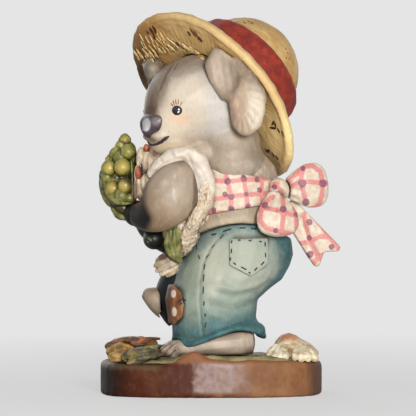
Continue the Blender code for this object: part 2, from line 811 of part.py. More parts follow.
def make_leaf(name, rows, material, *neighbours, across=Vector((0, 1, 0))):
    leaf = sweep(name, rows, material, sides=12, across=across)
    seat(leaf, *neighbours)
    return leaf


def by_the_edge(side, rows):
    # Moves a fallen leaf with the end of the base that it lies on.
    move = side * (BASE_LENGTH / MM / 2 - 29.3)
    return [(row[0] + move, *row[1:]) for row in rows]


def build():
    base = make_base()
    turf = make_turf(base)
    near_foot = make_near_foot(turf)
    heel = Vector((5 * MM, LEG_Y, 0))
    foot_dowel = peg("foot_dowel", heel + UP * (DRAWN_TOP - BASE_HEIGHT * 0.6), heel + UP * CUFF_HEIGHT)
    for piece in (base, turf, near_foot):
        seat(piece, foot_dowel)

    head = make_head()
    torso = make_torso()
    bodice = make_bodice(torso)
    belly = make_belly_fur(torso, bodice)
    trousers = make_trousers(near_foot, belly)
    far_leg = make_far_leg(belly, trousers)
    make_far_foot(far_leg)
    seat(bodice, head)
    seat(torso, trousers, head)
    neck_dowel = peg(
        "neck_dowel", Vector((3 * MM, 0, NECK_HEIGHT - 9 * MM)), Vector((1 * MM, 0, NECK_HEIGHT + 9 * MM))
    )
    seat(torso, neck_dowel)
    seat(head, neck_dowel)

    make_pocket("near_pocket", trousers, -1)
    make_pocket("far_pocket", trousers, 1)
    make_knee_patch(trousers)

    brim = make_brim(head)
    crown = make_crown(head, brim)
    make_band(crown, brim)
    make_nose(head)
    make_ear("near_ear", 1, 17.2, 2.8, 4.7, 0, 1, head, brim)
    make_ear("far_ear", -1, 16, 4.3, 8, 0.38, FAR_EAR_TOP, head, brim)
    axis = hat_frame().to_3x3() @ UP
    hat_dowel = peg("hat_dowel", HEAD_CENTRE + axis * 8 * MM, HEAD_CENTRE + axis * 20 * MM)
    seat(head, hat_dowel)
    seat(crown, hat_dowel)

    near_arm = make_arm("near_arm", -1)
    far_arm = make_arm("far_arm", 1)
    for arm in (near_arm, far_arm):
        seat(arm, torso, bodice, head, belly)
    near_paw = make_paw("near_paw", -1, near_arm)
    far_paw = make_paw("far_paw", 1, far_arm)
    near_frill = make_frill("near_frill", -1, near_arm, torso, bodice, head, belly)
    make_frill("far_frill", 1, far_arm, torso, bodice, head, belly)

    knot = egg("bow_knot", (17.8, -8.6, 54.6), (3, 3, 3.4), GINGHAM)
    seat(knot, bodice)
    near_loop = make_bow_loop(
        "near_bow_loop", (16.8, -11, 54.2), (0.08, -0.28, -0.95), (0.3, -1, 0.2),
        BOW_LOOP_LENGTH, 12, knot, bodice, torso, trousers,
    )
    far_loop = make_bow_loop(
        "far_bow_loop", (19, -8, 55), (0.95, 0.3, 0.12), (0.3, -1, 0), BOW_LOOP_LENGTH * 1.05, 12.4,
        knot, near_loop, bodice, torso, brim,
    )
    tail = make_bow_tail(
        "bow_tail", (19.8, -6.5, 51), (0.62, 0.1, -0.78), (0.3, -1, 0), BOW_TAIL_LENGTH,
        knot, near_loop, far_loop, bodice, torso, trousers,
    )
    make_bow_tail(
        "far_bow_tail", (20.4, -3, 50.2), (0.62, 0.36, -0.78), (0.5, -0.8, 0), BOW_TAIL_LENGTH * 0.86,
        knot, near_loop, far_loop, tail, bodice, torso, trousers,
    )

    cluster = make_buds(near_paw, far_paw, near_arm, far_arm, head)
    held = [near_paw, far_paw, near_arm, far_arm, cluster]
    leaves = []
    for name, turn, z, tall, wide in (
        ("bud_leaf_left", 175, 54.4, 6, 5.4), ("bud_leaf_right", 262, 53.4, 6, 5.4),
        ("bud_leaf_low", 246, 50.2, 4.6, 4),
    ):
        leaves.append(make_bud_leaf(name, turn, z, tall, wide, *held, *leaves))
    held += leaves
    low = make_daisy("daisy_low", (-17.4, -8.6, 59.6), (-0.72, -0.62, 0.2), 7, near_frill, *held)
    make_daisy(
        "daisy_high", (-15.6, -6.4, 65.4), (-0.62, -0.5, 0.5), 6, near_frill, near_arm, cluster, low, head
    )
    stems = make_leaf("stem_bundle", [
        (-18.6, -1, 47.2, 2, 2.4), (-16.8, -1.6, 45.2, 2.9, 3.4), (-13.8, -3, 42.8, 3.4, 4),
        (-11, -4.4, 40.6, 3, 3.6), (-9, -5, 38.8, 2, 2.4),
    ], LEAF_GREEN, *held, belly, trousers)
    leaf = make_leaf("hanging_leaf", [
        (-8, -10, 46, 1, 2), (-8.6, -10.4, 44, 1.6, 2.6), (-9.6, -10, 40.6, 1.6, 2.8),
        (-9, -9.6, 37.4, 1.1, 1.8), (-7.6, -9.4, 35.8, 0.5, 0.6),
    ], LEAF_GREEN, near_arm, stems, belly, trousers, bodice, across=Vector((1, 0.3, 0)))
    make_leaf("hanging_blossom", [
        (-8.6, -8, 38, 1.6, 2.6), (-11, -8, 37, 2.8, 3.4), (-13.2, -8, 34.8, 2.6, 3.2),
        (-14.2, -8, 33.2, 1.2, 1.6),
    ], CREAM_CLOTH, leaf, stems, trousers, belly, far_leg)

    floor = (DRAWN_TOP + TURF_HEIGHT) / MM
    green = make_leaf("ground_leaf_green", by_the_edge(-1, [
        (-13, -14.6, floor + 0.2, 0.8, 0.8), (-16, -14.4, floor + 0.6, 2, 2.6),
        (-20, -13.6, floor + 0.3, 2, 3), (-23, -12.6, floor - 0.4, 0.8, 1),
    ]), LEAF_GREEN, turf, base, near_foot)
    yellow = make_leaf("ground_leaf_yellow", by_the_edge(-1, [
        (-20, -10, floor + 1.4, 1, 1), (-23, -10, floor + 1.5, 2.2, 3),
        (-26, -9, floor + 1, 1.6, 2.2), (-27, -8.6, floor + 0.6, 0.5, 0.6),
    ]), LEAF_YELLOW, turf, base, near_foot, green)
    make_leaf("ground_leaf_orange", by_the_edge(-1, [
        (-14, -7, floor + 2.6, 1, 2), (-18, -7.4, floor + 3, 2, 3.2), (-23, -7, floor + 3, 1.9, 3),
        (-26.6, -6, floor + 2.4, 1.2, 1.8), (-27.6, -5.6, floor + 2.2, 0.4, 0.5),
    ]), FLOWER_ORANGE, turf, base, near_foot, green, yellow)
    blossom = make_leaf("fallen_blossom", by_the_edge(1, [
        (16.4, -9, floor + 0.4, 0.8, 1), (18.6, -9, floor + 2, 2.6, 3.2), (20.4, -9, floor + 2.6, 3.5, 4.2),
        (22.8, -8.8, floor + 1.9, 2.8, 4), (25.6, -8.4, floor + 1.1, 2.2, 3.4), (28.2, -8, floor + 0.3, 0.8, 1),
    ]), CREAM_CLOTH, turf, base)
    left = make_leaf("fallen_petal_left", by_the_edge(1, [
        (14.6, -12, floor + 0.2, 0.6, 0.8), (16.6, -12.4, floor + 0.8, 1.6, 2),
        (19, -13, floor + 0.8, 1.6, 2), (21, -13.4, floor, 0.6, 0.8),
    ]), CREAM_CLOTH, turf, base, blossom, near_foot)
    make_leaf("fallen_petal_right", by_the_edge(1, [
        (20.6, -13, floor + 0.2, 0.8, 0.8), (23, -13.4, floor + 0.8, 1.9, 2.2),
        (26, -12.8, floor + 0.3, 1.4, 1.8), (27.4, -12.4, floor - 0.2, 0.5, 0.6),
    ]), CREAM_CLOTH, turf, base, blossom, left)

    for obj in bpy.context.collection.objects:
        obj.data.transform(Matrix.Translation((0, 0, BASE_HEIGHT - DRAWN_TOP)))


build()
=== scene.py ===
import bpy
import math
import numpy as np
from mathutils import Matrix, Vector
from mathutils.bvhtree import BVHTree


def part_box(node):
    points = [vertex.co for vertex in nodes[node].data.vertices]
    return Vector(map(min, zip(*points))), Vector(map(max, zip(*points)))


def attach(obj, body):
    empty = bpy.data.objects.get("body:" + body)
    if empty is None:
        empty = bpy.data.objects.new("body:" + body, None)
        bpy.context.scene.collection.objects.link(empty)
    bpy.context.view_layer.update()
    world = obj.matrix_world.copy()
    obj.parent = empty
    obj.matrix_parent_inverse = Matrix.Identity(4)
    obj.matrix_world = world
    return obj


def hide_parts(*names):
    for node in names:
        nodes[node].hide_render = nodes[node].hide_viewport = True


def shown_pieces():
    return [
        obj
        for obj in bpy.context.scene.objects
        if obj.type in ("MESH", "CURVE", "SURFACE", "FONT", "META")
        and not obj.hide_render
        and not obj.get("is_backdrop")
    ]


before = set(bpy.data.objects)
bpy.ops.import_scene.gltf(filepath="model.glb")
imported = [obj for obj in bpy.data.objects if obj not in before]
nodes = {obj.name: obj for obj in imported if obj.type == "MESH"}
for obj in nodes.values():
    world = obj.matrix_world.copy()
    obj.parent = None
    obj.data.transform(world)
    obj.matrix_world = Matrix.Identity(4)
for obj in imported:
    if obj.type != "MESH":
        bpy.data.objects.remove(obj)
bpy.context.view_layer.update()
mm = 0.001
coarse = 1.0
photo = {"middleX": 210.3, "groundY": 396.5, "scale": 0.265, "drop": 1.0, "width": 416,
         "camera": (-0.00061, -0.75, 0.0555)}


def fromPhoto(px, py):   # a pixel of the photograph as x and z in millimetres
    return (px - photo["middleX"]) * photo["scale"], (photo["groundY"] - py) * photo["scale"] - photo["drop"]


def atDepth(px, py, y):
    x, z = fromPhoto(px, py)
    return x, y, z


def dotted(nodeName):
    return nodeName.replace("_", ".")


def pickOnly(piece):
    bpy.ops.object.select_all(action="DESELECT")
    piece.select_set(True)
    bpy.context.view_layer.objects.active = piece


def editWhole(piece, operator, **settings):   # one edit mode operator on the whole mesh
    pickOnly(piece)
    bpy.ops.object.mode_set(mode="EDIT")
    bpy.ops.mesh.select_all(action="SELECT")
    operator(**settings)
    bpy.ops.object.mode_set(mode="OBJECT")


def applyModifier(piece, kind, **settings):
    modifier = piece.modifiers.new(kind.title(), kind)
    for key, value in settings.items():
        setattr(modifier, key, value)
    pickOnly(piece)
    bpy.ops.object.modifier_apply(modifier=modifier.name)


def newPiece(name, mesh):
    piece = bpy.data.objects.new(name, mesh)
    bpy.context.scene.collection.objects.link(piece)
    return piece


def copyNode(nodeName, pieceName):   # the CAD solid's own mesh, merged, as the block to carve from
    piece = newPiece(pieceName, nodes[nodeName].data.copy())
    piece.data.materials.clear()
    editWhole(piece, bpy.ops.mesh.remove_doubles, threshold=0.000001)
    return piece


def joinPieces(piece, others):
    pickOnly(piece)
    for other in others:
        other.select_set(True)
    bpy.ops.object.join()
    return piece


def remesh(piece, grain, soften):
    applyModifier(piece, "REMESH", mode="VOXEL", voxel_size=grain * coarse * mm, use_smooth_shade=True)
    applyModifier(piece, "SMOOTH", factor=0.5, iterations=soften)


def carve(nodeName, pieceName, grain, soften):
    piece = copyNode(nodeName, pieceName)
    remesh(piece, grain, soften)
    return piece


def getPoints(piece, what="co"):   # vertices in millimetres, or their normals
    flat = np.empty(len(piece.data.vertices) * 3)
    piece.data.vertices.foreach_get(what, flat)
    return flat.reshape(-1, 3) / (mm if what == "co" else 1)


def getNormals(piece):
    return getPoints(piece, "normal")


def setPoints(piece, points):
    piece.data.vertices.foreach_set("co", (points * mm).ravel())
    piece.data.update()


def pushOut(piece, amount):   # moves each vertex along its normal, in millimetres
    points = getPoints(piece)
    setPoints(piece, points + getNormals(piece) * np.asarray(amount).reshape(-1, 1))


def drawIn(piece, px, keep):   # draws in what lies right of a pixel column
    points = getPoints(piece)
    x = fromPhoto(px, 0)[0]
    points[:, 0] = np.where(points[:, 0] > x, x + (points[:, 0] - x) * keep, points[:, 0])
    setPoints(piece, points)


def smoothStep(low, high, value):
    t = np.clip((value - low) / (high - low), 0, 1)
    return t * t * (3 - 2 * t)


def keepOnPiece(piece, name, values):
    layer = piece.data.attributes.new(name, "FLOAT", "POINT")
    layer.data.foreach_set("value", np.asarray(values, dtype=np.float32))


def keepNear(piece):   # 1 where the surface faces the viewer of the photograph
    keepOnPiece(piece, "near", smoothStep(-0.05, 0.45, -getNormals(piece)[:, 1]))


def lineDistance(points, line):   # how far each point is from a line through the given stops
    best = np.full(len(points), 1e6)
    stops = np.asarray(line, float)
    for a, b in zip(stops[:-1], stops[1:]):
        along = b - a
        t = np.clip(((points - a) @ along) / max(along @ along, 1e-9), 0, 1)
        best = np.minimum(best, np.linalg.norm(points - a - t[:, None] * along, axis=1))
    return best


def roughen(piece, size, strength, kind="CLOUDS"):   # low hand-carved swell
    texture = bpy.data.textures.new(piece.name + "Swell", kind)
    texture.noise_scale = size * mm
    applyModifier(piece, "DISPLACE", texture=texture, texture_coords="LOCAL", strength=strength * mm, mid_level=0.5)


def carveLines(piece, lines, depth, width, side=-1):   # grooves, or ridges below zero, along photo lines
    points, normals = getPoints(piece), getNormals(piece)
    push = np.zeros(len(points))
    for line in lines:
        stops = [fromPhoto(*stop) for stop in np.reshape(line, (-1, 2))]
        push = np.maximum(push, abs(depth) * np.exp(-(lineDistance(points[:, [0, 2]], stops) / width) ** 2))
    facingIt = smoothStep(0.0, 0.5, normals[:, 1] * side)
    setPoints(piece, points - normals * (push * np.sign(depth) * facingIt)[:, None])


def addBall(name, middle, radii, turn=None, segments=20, rings=14):   # a round bit, shaped in edit mode
    bpy.ops.object.select_all(action="DESELECT")
    bpy.ops.mesh.primitive_uv_sphere_add(segments=segments, ring_count=rings, radius=mm, location=(0, 0, 0))
    ball = bpy.context.object
    ball.name = name
    bpy.ops.object.mode_set(mode="EDIT")
    bpy.ops.transform.resize(value=radii)
    bpy.ops.object.mode_set(mode="OBJECT")
    ball.data.transform(Matrix.Translation(Vector(middle) * mm) @ (turn.to_4x4() if turn else Matrix.Identity(4)))
    return ball


def photoBall(name, px, py, wide, tall, y, deep, *fine):   # the same, at a pixel and with half sizes in pixels
    return addBall(name, atDepth(px, py, y), (wide * photo["scale"], deep, tall * photo["scale"]), None, *fine)


def addPetal(px, py, pxEnd, pyEnd, wide, y, yEnd, deep, taper, groove):   # a grooved petal between two pixels
    a, b = Vector(atDepth(px, py, y)), Vector(atDepth(pxEnd, pyEnd, yEnd))
    half = (b - a).length / 2
    petal = addBall("petal", (0, 0, 0), (half, wide * photo["scale"] / 2, deep), None, 22, 14)
    points = getPoints(petal)
    points[:, 1] *= 1 - taper * points[:, 0] / half
    middleLine = np.exp(-(points[:, 1] / (0.09 * wide * photo["scale"])) ** 2)
    points[:, 2] -= np.sign(points[:, 2]) * groove * deep * middleLine
    ahead = (b - a).normalized()
    across = Vector((0, -1, 0)).cross(ahead).normalized()
    turn = np.array(Matrix((ahead, across, ahead.cross(across))).transposed())
    setPoints(petal, points @ turn.T + np.array((a + b) / 2))
    return petal


def addRoll(name, stops, thick, closed=False):   # a bevelled curve through places in millimetres
    curve = bpy.data.curves.new(name, "CURVE")
    curve.dimensions = "3D"
    curve.bevel_depth = thick * mm
    curve.bevel_resolution = 3 if closed else 4
    curve.use_fill_caps = not closed
    spline = curve.splines.new("POLY" if closed else "NURBS")
    spline.points.add(len(stops) - 1)
    spline.use_cyclic_u = closed
    spline.use_endpoint_u = not closed
    spline.order_u = 4
    for i, (point, stop) in enumerate(zip(spline.points, stops)):
        point.co = (*(value * mm for value in stop), 1)
        point.radius = 0.35 if i in (0, len(stops) - 1) and not closed else 1   # an open roll thins at its ends
    pickOnly(newPiece(name, curve))
    bpy.ops.object.convert(target="MESH")
    return bpy.context.object


def surfaceOf(*pieces):   # one ray-cast tree of several pieces
    corners, faces = [], []
    for piece in pieces:
        start = len(corners)
        corners += [tuple(v.co) for v in piece.data.vertices]
        faces += [[start + i for i in p.vertices] for p in piece.data.polygons]
    return BVHTree.FromPolygons(corners, faces)


def spotOn(tree, px, py, side=-1):   # where the sight line through a pixel meets the surface, and its normal
    x, z = fromPhoto(px, py)
    start, ahead = Vector((x * mm, side * 0.08, z * mm)), Vector((0, -side, 0))
    if side < 0:
        start = Vector(photo["camera"])
        ahead = (Vector((x * mm, 0, z * mm)) - start).normalized()
    return tree.ray_cast(start, ahead)[:2]


def touch(tree, px, py):   # the same place alone, in millimetres
    return tuple(spotOn(tree, px, py)[0] / mm)


def alongWay(way, t):   # the place t stops along a way of pixels
    k = min(int(t), len(way) - 2)
    return [way[k][i] + (way[k + 1][i] - way[k][i]) * (t - k) for i in (0, 1)]


def brush(name, tree, strokes, width=1.2, raised=0.1, side=-1, taper=0.35):
    # each stroke is a row of pixels, x and y in turn; the width is in pixels; paint lies just over the surface
    corners, faces = [], []
    for stroke in strokes:
        stroke, wide = stroke if isinstance(stroke, tuple) else (stroke, width)
        stops = np.asarray(stroke, float).reshape(-1, 2)
        lengths = np.r_[0, np.cumsum(np.linalg.norm(np.diff(stops, axis=0), axis=1))]
        row = []
        for t in np.linspace(0, lengths[-1], max(4, int(lengths[-1] / 1.1) + 2)):
            hit, normal = spotOn(tree, np.interp(t, lengths, stops[:, 0]), np.interp(t, lengths, stops[:, 1]), side)
            if hit:
                row.append((hit, normal, t / lengths[-1]))
        if len(row) < 3:
            continue
        start = len(corners)
        for i, (hit, normal, t) in enumerate(row):
            ahead = row[min(i + 1, len(row) - 1)][0] - row[max(i - 1, 0)][0]
            across = normal.cross(ahead).normalized()
            fade = min(1, t / taper + 0.25, (1 - t) / taper + 0.25)
            half = wide * photo["scale"] * mm * 0.5 * fade
            lift = raised * mm * (0.5 + 0.5 * fade)
            corners += [hit + across * half, hit + across * half * 0.55 + normal * lift,
                        hit - across * half * 0.55 + normal * lift, hit - across * half, hit - normal * raised * mm]
        for a in range(start, start + (len(row) - 1) * 5, 5):
            faces += [(a + k, a + (k + 1) % 5, a + 5 + (k + 1) % 5, a + 5 + k) for k in range(5)]
        faces.append([start + k for k in range(4, -1, -1)])
        faces.append([start + (len(row) - 1) * 5 + k for k in range(5)])
    mesh = bpy.data.meshes.new(name)
    mesh.from_pydata([tuple(c) for c in corners], [], faces)
    piece = newPiece(name, mesh)
    editWhole(piece, bpy.ops.mesh.normals_make_consistent, inside=False)
    return piece


def finishPiece(piece, paint, slot, *replaced):
    piece.data.materials.clear()
    piece.data.materials.append(paint)
    for polygon in piece.data.polygons:
        polygon.use_smooth = True
    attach(piece, "root")
    if replaced:
        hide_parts(*replaced)


def carvePiece(nodeName, pieceName, grain, soften, paint, slot, *swell):   # carved, swelled and finished in one go
    piece = carve(nodeName, pieceName, grain, soften)
    if swell:
        roughen(piece, *swell)
    finishPiece(piece, paint, slot, nodeName)
    return piece


def tone(red, green, blue):   # a paint as the eye reads it, turned into linear light
    shares = [value / 255 for value in (red, green, blue)]
    return [s / 12.92 if s <= 0.04045 else ((s + 0.055) / 1.055) ** 2.4 for s in shares] + [1]


class Wire:
    def __init__(self, board, socket):
        self.board = board
        self.socket = socket

    def math(self, what, first, second=None):
        return self.board.put("ShaderNodeMath", {"operation": what}, {0: first, 1: second})

    def __add__(self, other): return self.math("ADD", self, other)
    def __radd__(self, other): return self.math("ADD", other, self)
    def __sub__(self, other): return self.math("SUBTRACT", self, other)
    def __rsub__(self, other): return self.math("SUBTRACT", other, self)
    def __mul__(self, other): return self.math("MULTIPLY", self, other)
    def __rmul__(self, other): return self.math("MULTIPLY", other, self)
    def __neg__(self): return self.math("MULTIPLY", self, -1.0)
    def high(self, other): return self.math("MAXIMUM", self, other)
    def flat(self): return self.math("ABSOLUTE", self)


class Board:   # lays nodes in one tree and wires them
    def __init__(self, owner):
        owner.use_nodes = True
        self.tree = owner.node_tree

    def put(self, kind, settings={}, values={}, out=0):
        node = self.tree.nodes.new(kind)
        for key, value in settings.items():
            setattr(node, key, value)
        for key, value in values.items():
            self.feed(node, key, value)
        return Wire(self, node.outputs[out])

    def feed(self, node, key, value):
        if isinstance(value, Wire):
            self.tree.links.new(value.socket, node.inputs[key])
        elif value is not None:
            node.inputs[key].default_value = value

    def find(self, kind):
        return next(node for node in self.tree.nodes if node.type == kind)

    def vector(self, what, first, second=None, scale=None, out=0):
        return self.put("ShaderNodeVectorMath", {"operation": what}, {0: first, 1: second, 3: scale}, out)


class Pot(Board):   # one paint: a first coat, then what is dabbed over it, and painted shade in its hollows and grooves
    def __init__(self, name, shine=0.5, washed=0.9, shadeInGrooves=0.35, coat=0.0):
        self.material = bpy.data.materials.new(name)
        super().__init__(self.material)
        self.washed, self.shadeInGrooves = washed, shadeInGrooves   # how much painted shade darkens the hollows and the fine grooves
        self.shader = self.find("BSDF_PRINCIPLED")
        self.feed(self.shader, "Specular IOR Level", shine)
        self.feed(self.shader, "Coat Weight", coat)
        self.here = self.vector("SCALE", self.put("ShaderNodeTexCoord", out="Object"), scale=1000.0)
        self.x, self.y, self.z = self.split(self.here)

    def split(self, vector):
        node = self.put("ShaderNodeSeparateXYZ", {}, {0: vector}).socket.node
        return [Wire(self, node.outputs[i]) for i in range(3)]

    def join(self, x, y, z):
        return self.put("ShaderNodeCombineXYZ", {}, {0: x, 1: y, 2: z})

    def noise(self, size, detail=2.0, stretch=(1, 1, 1), where=None):
        where = self.vector("DIVIDE", where or self.here, [s * size for s in stretch])
        return self.put("ShaderNodeTexNoise", {}, {"Vector": where, "Scale": 1.0, "Detail": detail})

    def cells(self, size):
        where = self.vector("SCALE", self.here, scale=1.0 / size)
        return self.put("ShaderNodeTexVoronoi", {"feature": "F1"}, {"Vector": where, "Scale": 1.0})

    def kept(self, name):   # a number painted on the piece
        return self.put("ShaderNodeAttribute", {"attribute_name": name}, {}, "Fac")

    def soft(self, value, low, high):   # 0 below low, 1 above high, eased between them
        if low > high:
            return 1.0 - self.soft(value, high, low)
        return self.put("ShaderNodeMapRange", {"interpolation_type": "SMOOTHSTEP"}, {0: value, 1: low, 2: high})

    def away(self, centre, radii, where=None):   # 0 at the centre of an egg, 1 on its shell
        across = self.vector("DIVIDE", self.vector("SUBTRACT", where or self.here, centre), radii)
        return self.vector("LENGTH", across, out=1)

    def blot(self, centre, radii, soft=0.5, where=None, wobble=0.0):   # 1 inside an egg, fading out round it
        return self.soft(self.away(centre, radii, where) + wobble, 1 + soft, 1 - soft)

    def mix(self, amount, under, over, how="MIX"):
        under, over = [tone(*shade) if isinstance(shade, tuple) else shade for shade in (under, over)]
        return self.put("ShaderNodeMix", {"data_type": "RGBA", "blend_type": how}, {0: amount, 6: under, 7: over}, 2)

    def coat(self, value, low, high, under, over, amount=1.0):
        self.colour = self.mix(self.soft(value, low, high) * amount, under, over)

    def over(self, mask, shade):
        self.colour = self.mix(mask, self.colour, shade)

    def tint(self, value, low, high, shade, amount=1.0):   # a shade where a value goes from low to high
        self.over(self.soft(value, low, high) * amount, shade)

    def finish(self, rough, bump=None, depth=0.1, strength=1.0):
        # painted shade: darker in hollows shut in by neighbouring pieces and in fine grooves
        hollow = self.soft(self.kept("wash"), 0.22, 0.8) * self.washed
        paintedShade = hollow.high(self.soft(self.kept("groove"), 0.04, 0.2) * self.shadeInGrooves)
        self.over(paintedShade, self.mix(1.0, self.colour, (82, 66, 58), "MULTIPLY"))
        self.feed(self.shader, "Base Color", self.colour)
        self.feed(self.shader, "Roughness", rough)
        if bump is not None:
            values = {"Strength": strength, "Distance": depth * mm, "Height": bump}
            self.feed(self.shader, "Normal", self.put("ShaderNodeBump", {}, values, "Normal"))
        return self.material


def handPainted(name, colour, darker, lighter, size, washed=0.9, stretch=(1, 1, 1)):
    # a plain paint as a brush leaves it: cloudy, a little streaked, satin
    pot = Pot(name, 0.5, washed, washed * 0.4)
    cloud, streak = pot.noise(size, 3.0, stretch), pot.noise(size * 0.22, 2.0, stretch)
    pot.coat(cloud, 0.35, 0.66, darker, colour, 0.7)
    pot.tint(streak * 0.5 + cloud * 0.5, 0.5, 0.72, lighter, 0.7)
    return pot.finish(0.42 + streak * 0.2, streak * 0.5 + cloud * 0.5, 0.06)


def plainPaint(name, colour, rough, coat=0.0):
    pot = Pot(name, coat=coat)
    cloud = pot.noise(0.8)
    pot.colour = pot.mix(cloud * 0.25, colour, [min(1, share * 1.25 + 0.01) for share in tone(*colour)])
    return pot.finish(rough + cloud * 0.05)


wood = {"side": (130, 86, 54), "dark": (74, 28, 6), "pale": (150, 106, 70), "paintedSheen": (158, 134, 126),
        "halfLong": 29.4, "halfWide": 21.6}
turfSettings = {"green": (144, 132, 92), "deep": (114, 102, 66), "pale": (176, 164, 122), "brown": (120, 84, 52)}
# pixel column, and how far the bark lip rises there in millimetres
barkStops = [
    (95, 0), (166, 0), (176, 0.3), (184, 1.5), (190, 1.9), (198, 1.9), (206, 1.3), (216, 1.3), (232, 0.9), (250, 1.2),
    (275, 0.9), (300, 0.7), (325, 0.4)]


def woodPaint():
    pot = Pot("stainedWood", 0.24)
    grain, broad, mottle = pot.noise(0.5, 3.0, (1, 1, 12)), pot.noise(5.0, 3.0, (1, 1, 1.6)), pot.noise(1.4, 4.0)
    # darker towards the left: partly the stain, partly painted shade away from the light
    right = pot.soft(pot.x + (broad - 0.5) * 8.0, -7.0, 15.0)
    pot.colour = pot.mix(right, wood["dark"], wood["side"])
    pot.tint(broad, 0.42, 0.7, wood["pale"], 0.15 + right * 0.7)
    pot.tint(mottle, 0.5, 0.7, wood["pale"], 0.1 + right * 0.2)
    pot.tint(grain * 0.6 + mottle * 0.4, 0.48, 0.3, (70, 40, 28), 0.4)
    # painted shade: all but black at the left end and darker at the right end, where the slab turns from the light
    pot.tint(pot.x + mottle * 3.0, -17.0, -26.0, (14, 5, 2), 0.97)
    pot.tint(pot.x + mottle * 2.0, 25.0, 29.0, (70, 44, 34), 0.75)
    spill = pot.soft(pot.x, -11.0, -15.0)   # ground colour run over the edge
    pot.tint(pot.z + mottle * 1.4, 7.2, 8.6, (92, 74, 50), spill * 0.75)
    # painted sheen: a pale reflection of the lamp across the front
    paintedSheen = pot.soft(pot.x + pot.noise(2.5) * 5.0, -2.6, -0.4) * pot.soft(pot.x + pot.noise(4.0) * 8.0, 15.5, 9.0)
    paintedSheen = paintedSheen * pot.soft(pot.y, 0.0, -6.0) * pot.soft(pot.z, 9.9, 8.6) * pot.soft(pot.z, 0.6, 2.0)
    pot.over(paintedSheen * (0.5 + pot.soft(pot.noise(1.5, 4.0), 0.3, 0.62) * 0.4), wood["paintedSheen"])
    pot.tint(pot.z + mottle * 0.8, 8.7, 9.9, (150, 96, 60), 0.7)   # rim: lighter along the top edge, a painted highlight
    pot.tint(pot.z, 0.5, 0.05, wood["dark"], 0.6)   # underside
    return pot.finish(0.5 - paintedSheen * 0.14 + grain * 0.12, grain * 0.6 + broad * 0.5, 0.1, 0.7)


def turfPaint():
    pot = Pot("olivePaint", 0.35, 0.25)
    cloud, streak = pot.noise(3.2, 3.0), pot.noise(0.8, 3.0, (2.5, 1, 1))
    pot.coat(cloud, 0.35, 0.68, turfSettings["deep"], turfSettings["green"])
    pot.tint(streak, 0.52, 0.7, turfSettings["pale"], 0.6)
    pot.tint(pot.noise(2.0), 0.55, 0.75, turfSettings["brown"], 0.4)
    return pot.finish(0.5 + streak * 0.15, streak + cloud, 0.15)


def liftLip(piece, edgeLow, edgeHigh, zLow, zHigh):   # the bark lip rises round the front of the slice
    points = getPoints(piece)
    edge = np.hypot(points[:, 0] / wood["halfLong"], points[:, 1] / wood["halfWide"])   # 1 near the bark
    lift = np.interp(points[:, 0], [fromPhoto(px, 0)[0] for px, up in barkStops], [up for px, up in barkStops])
    lift *= smoothStep(edgeLow, edgeHigh, edge) * smoothStep(zLow, zHigh, points[:, 2])
    points[:, 2] = np.maximum(points[:, 2] + lift * smoothStep(4.0, -8.0, points[:, 1]), 0)
    setPoints(piece, points)


print("base and ground")
baseSlab = carve("base_slab", "baseSlab", 0.45, 4)
roughen(baseSlab, 2.2, 0.22)
liftLip(baseSlab, 0.62, 0.9, 4.0, 8.4)
finishPiece(baseSlab, woodPaint(), "stained_wood", "base_slab")
turf = carve("ground_turf", "groundTurf", 0.4, 6)
liftLip(turf, 0.5, 0.82, 8.6, 9.2)
roughen(turf, 3.0, 0.5)
finishPiece(turf, turfPaint(), "olive_paint", "ground_turf")

fallen = {   # slot; thickness, taper and groove of the blades; colour, darker, lighter
    "ground_leaf_orange": ("leaf_yellow_paint", (0.9, 0.3, 0.35), (132, 84, 48), (78, 62, 40), (196, 106, 56)),
    "ground_leaf_yellow": ("leaf_yellow_paint", (0.9, 0.3, 0.35), (150, 116, 60), (104, 78, 44), (188, 152, 84)),
    "ground_leaf_green": ("leaf_green_paint", (0.9, 0.3, 0.35), (92, 86, 62), (60, 58, 42), (138, 120, 70)),
    "fallen_blossom": ("petal_white_paint", (1.5, -0.35, 0.2), (206, 186, 152), (168, 138, 100), (224, 208, 178)),
    "fallen_petal_left": ("petal_white_paint", (1.2, -0.3, 0.25), (226, 210, 176), (190, 168, 130), (240, 230, 204)),
    "fallen_petal_right": ("petal_white_paint", (1.2, -0.3, 0.25), (230, 215, 182), (194, 172, 134), (242, 232, 206)),
}
# each blade: start and end pixels, width in pixels, depths at both ends
bladeRows = {
    "ground_leaf_orange": [(106, 345.5, 150, 339.5, 9, -9.6, -7.4), (112, 340.5, 163, 337.5, 7, -7.6, -5.0),
        (118, 349, 158, 344, 8, -9.6, -8.8)],
    "ground_leaf_yellow": [(107, 349, 136, 345.5, 9, -11.4, -10.0), (108.5, 353.5, 138, 349.5, 9, -12.6, -11.2),
        (111, 357, 134, 354.5, 6, -12.6, -12.0)],
    "ground_leaf_green": [(123, 356.5, 163, 347, 9, -14.6, -11.6), (127, 359, 162, 354, 7, -16.2, -14.0),
        (133, 350, 163, 343, 7, -12.0, -10.6)],
    "fallen_blossom": [(283, 339, 273, 354, 8, -8.4, -10.4), (286.5, 337, 281, 357, 9, -9.0, -12.0),
        (289, 337, 291, 358, 9.5, -9.0, -12.4), (291, 338, 301, 358, 9.5, -8.8, -12.0),
        (295, 341, 310, 358, 9, -8.2, -11.2), (299, 344, 317, 359, 8, -7.4, -10.0),
        (281, 342, 270, 350, 6, -7.6, -9.0)],
    "fallen_petal_left": [(277, 341, 266, 354, 7, -10.8, -12.6), (279, 342, 271.5, 357, 7, -11.4, -13.6),
        (282, 343, 278, 358, 7, -11.8, -14.0), (284, 345, 285, 357, 7, -11.8, -13.6)],
    "fallen_petal_right": [(294, 343, 293, 358, 7, -12.0, -14.0), (298, 342, 300, 359, 8, -12.0, -14.6),
        (302, 342, 307.5, 359, 8, -11.8, -14.2), (305, 344, 314.5, 358.5, 8, -11.0, -13.0)],
}
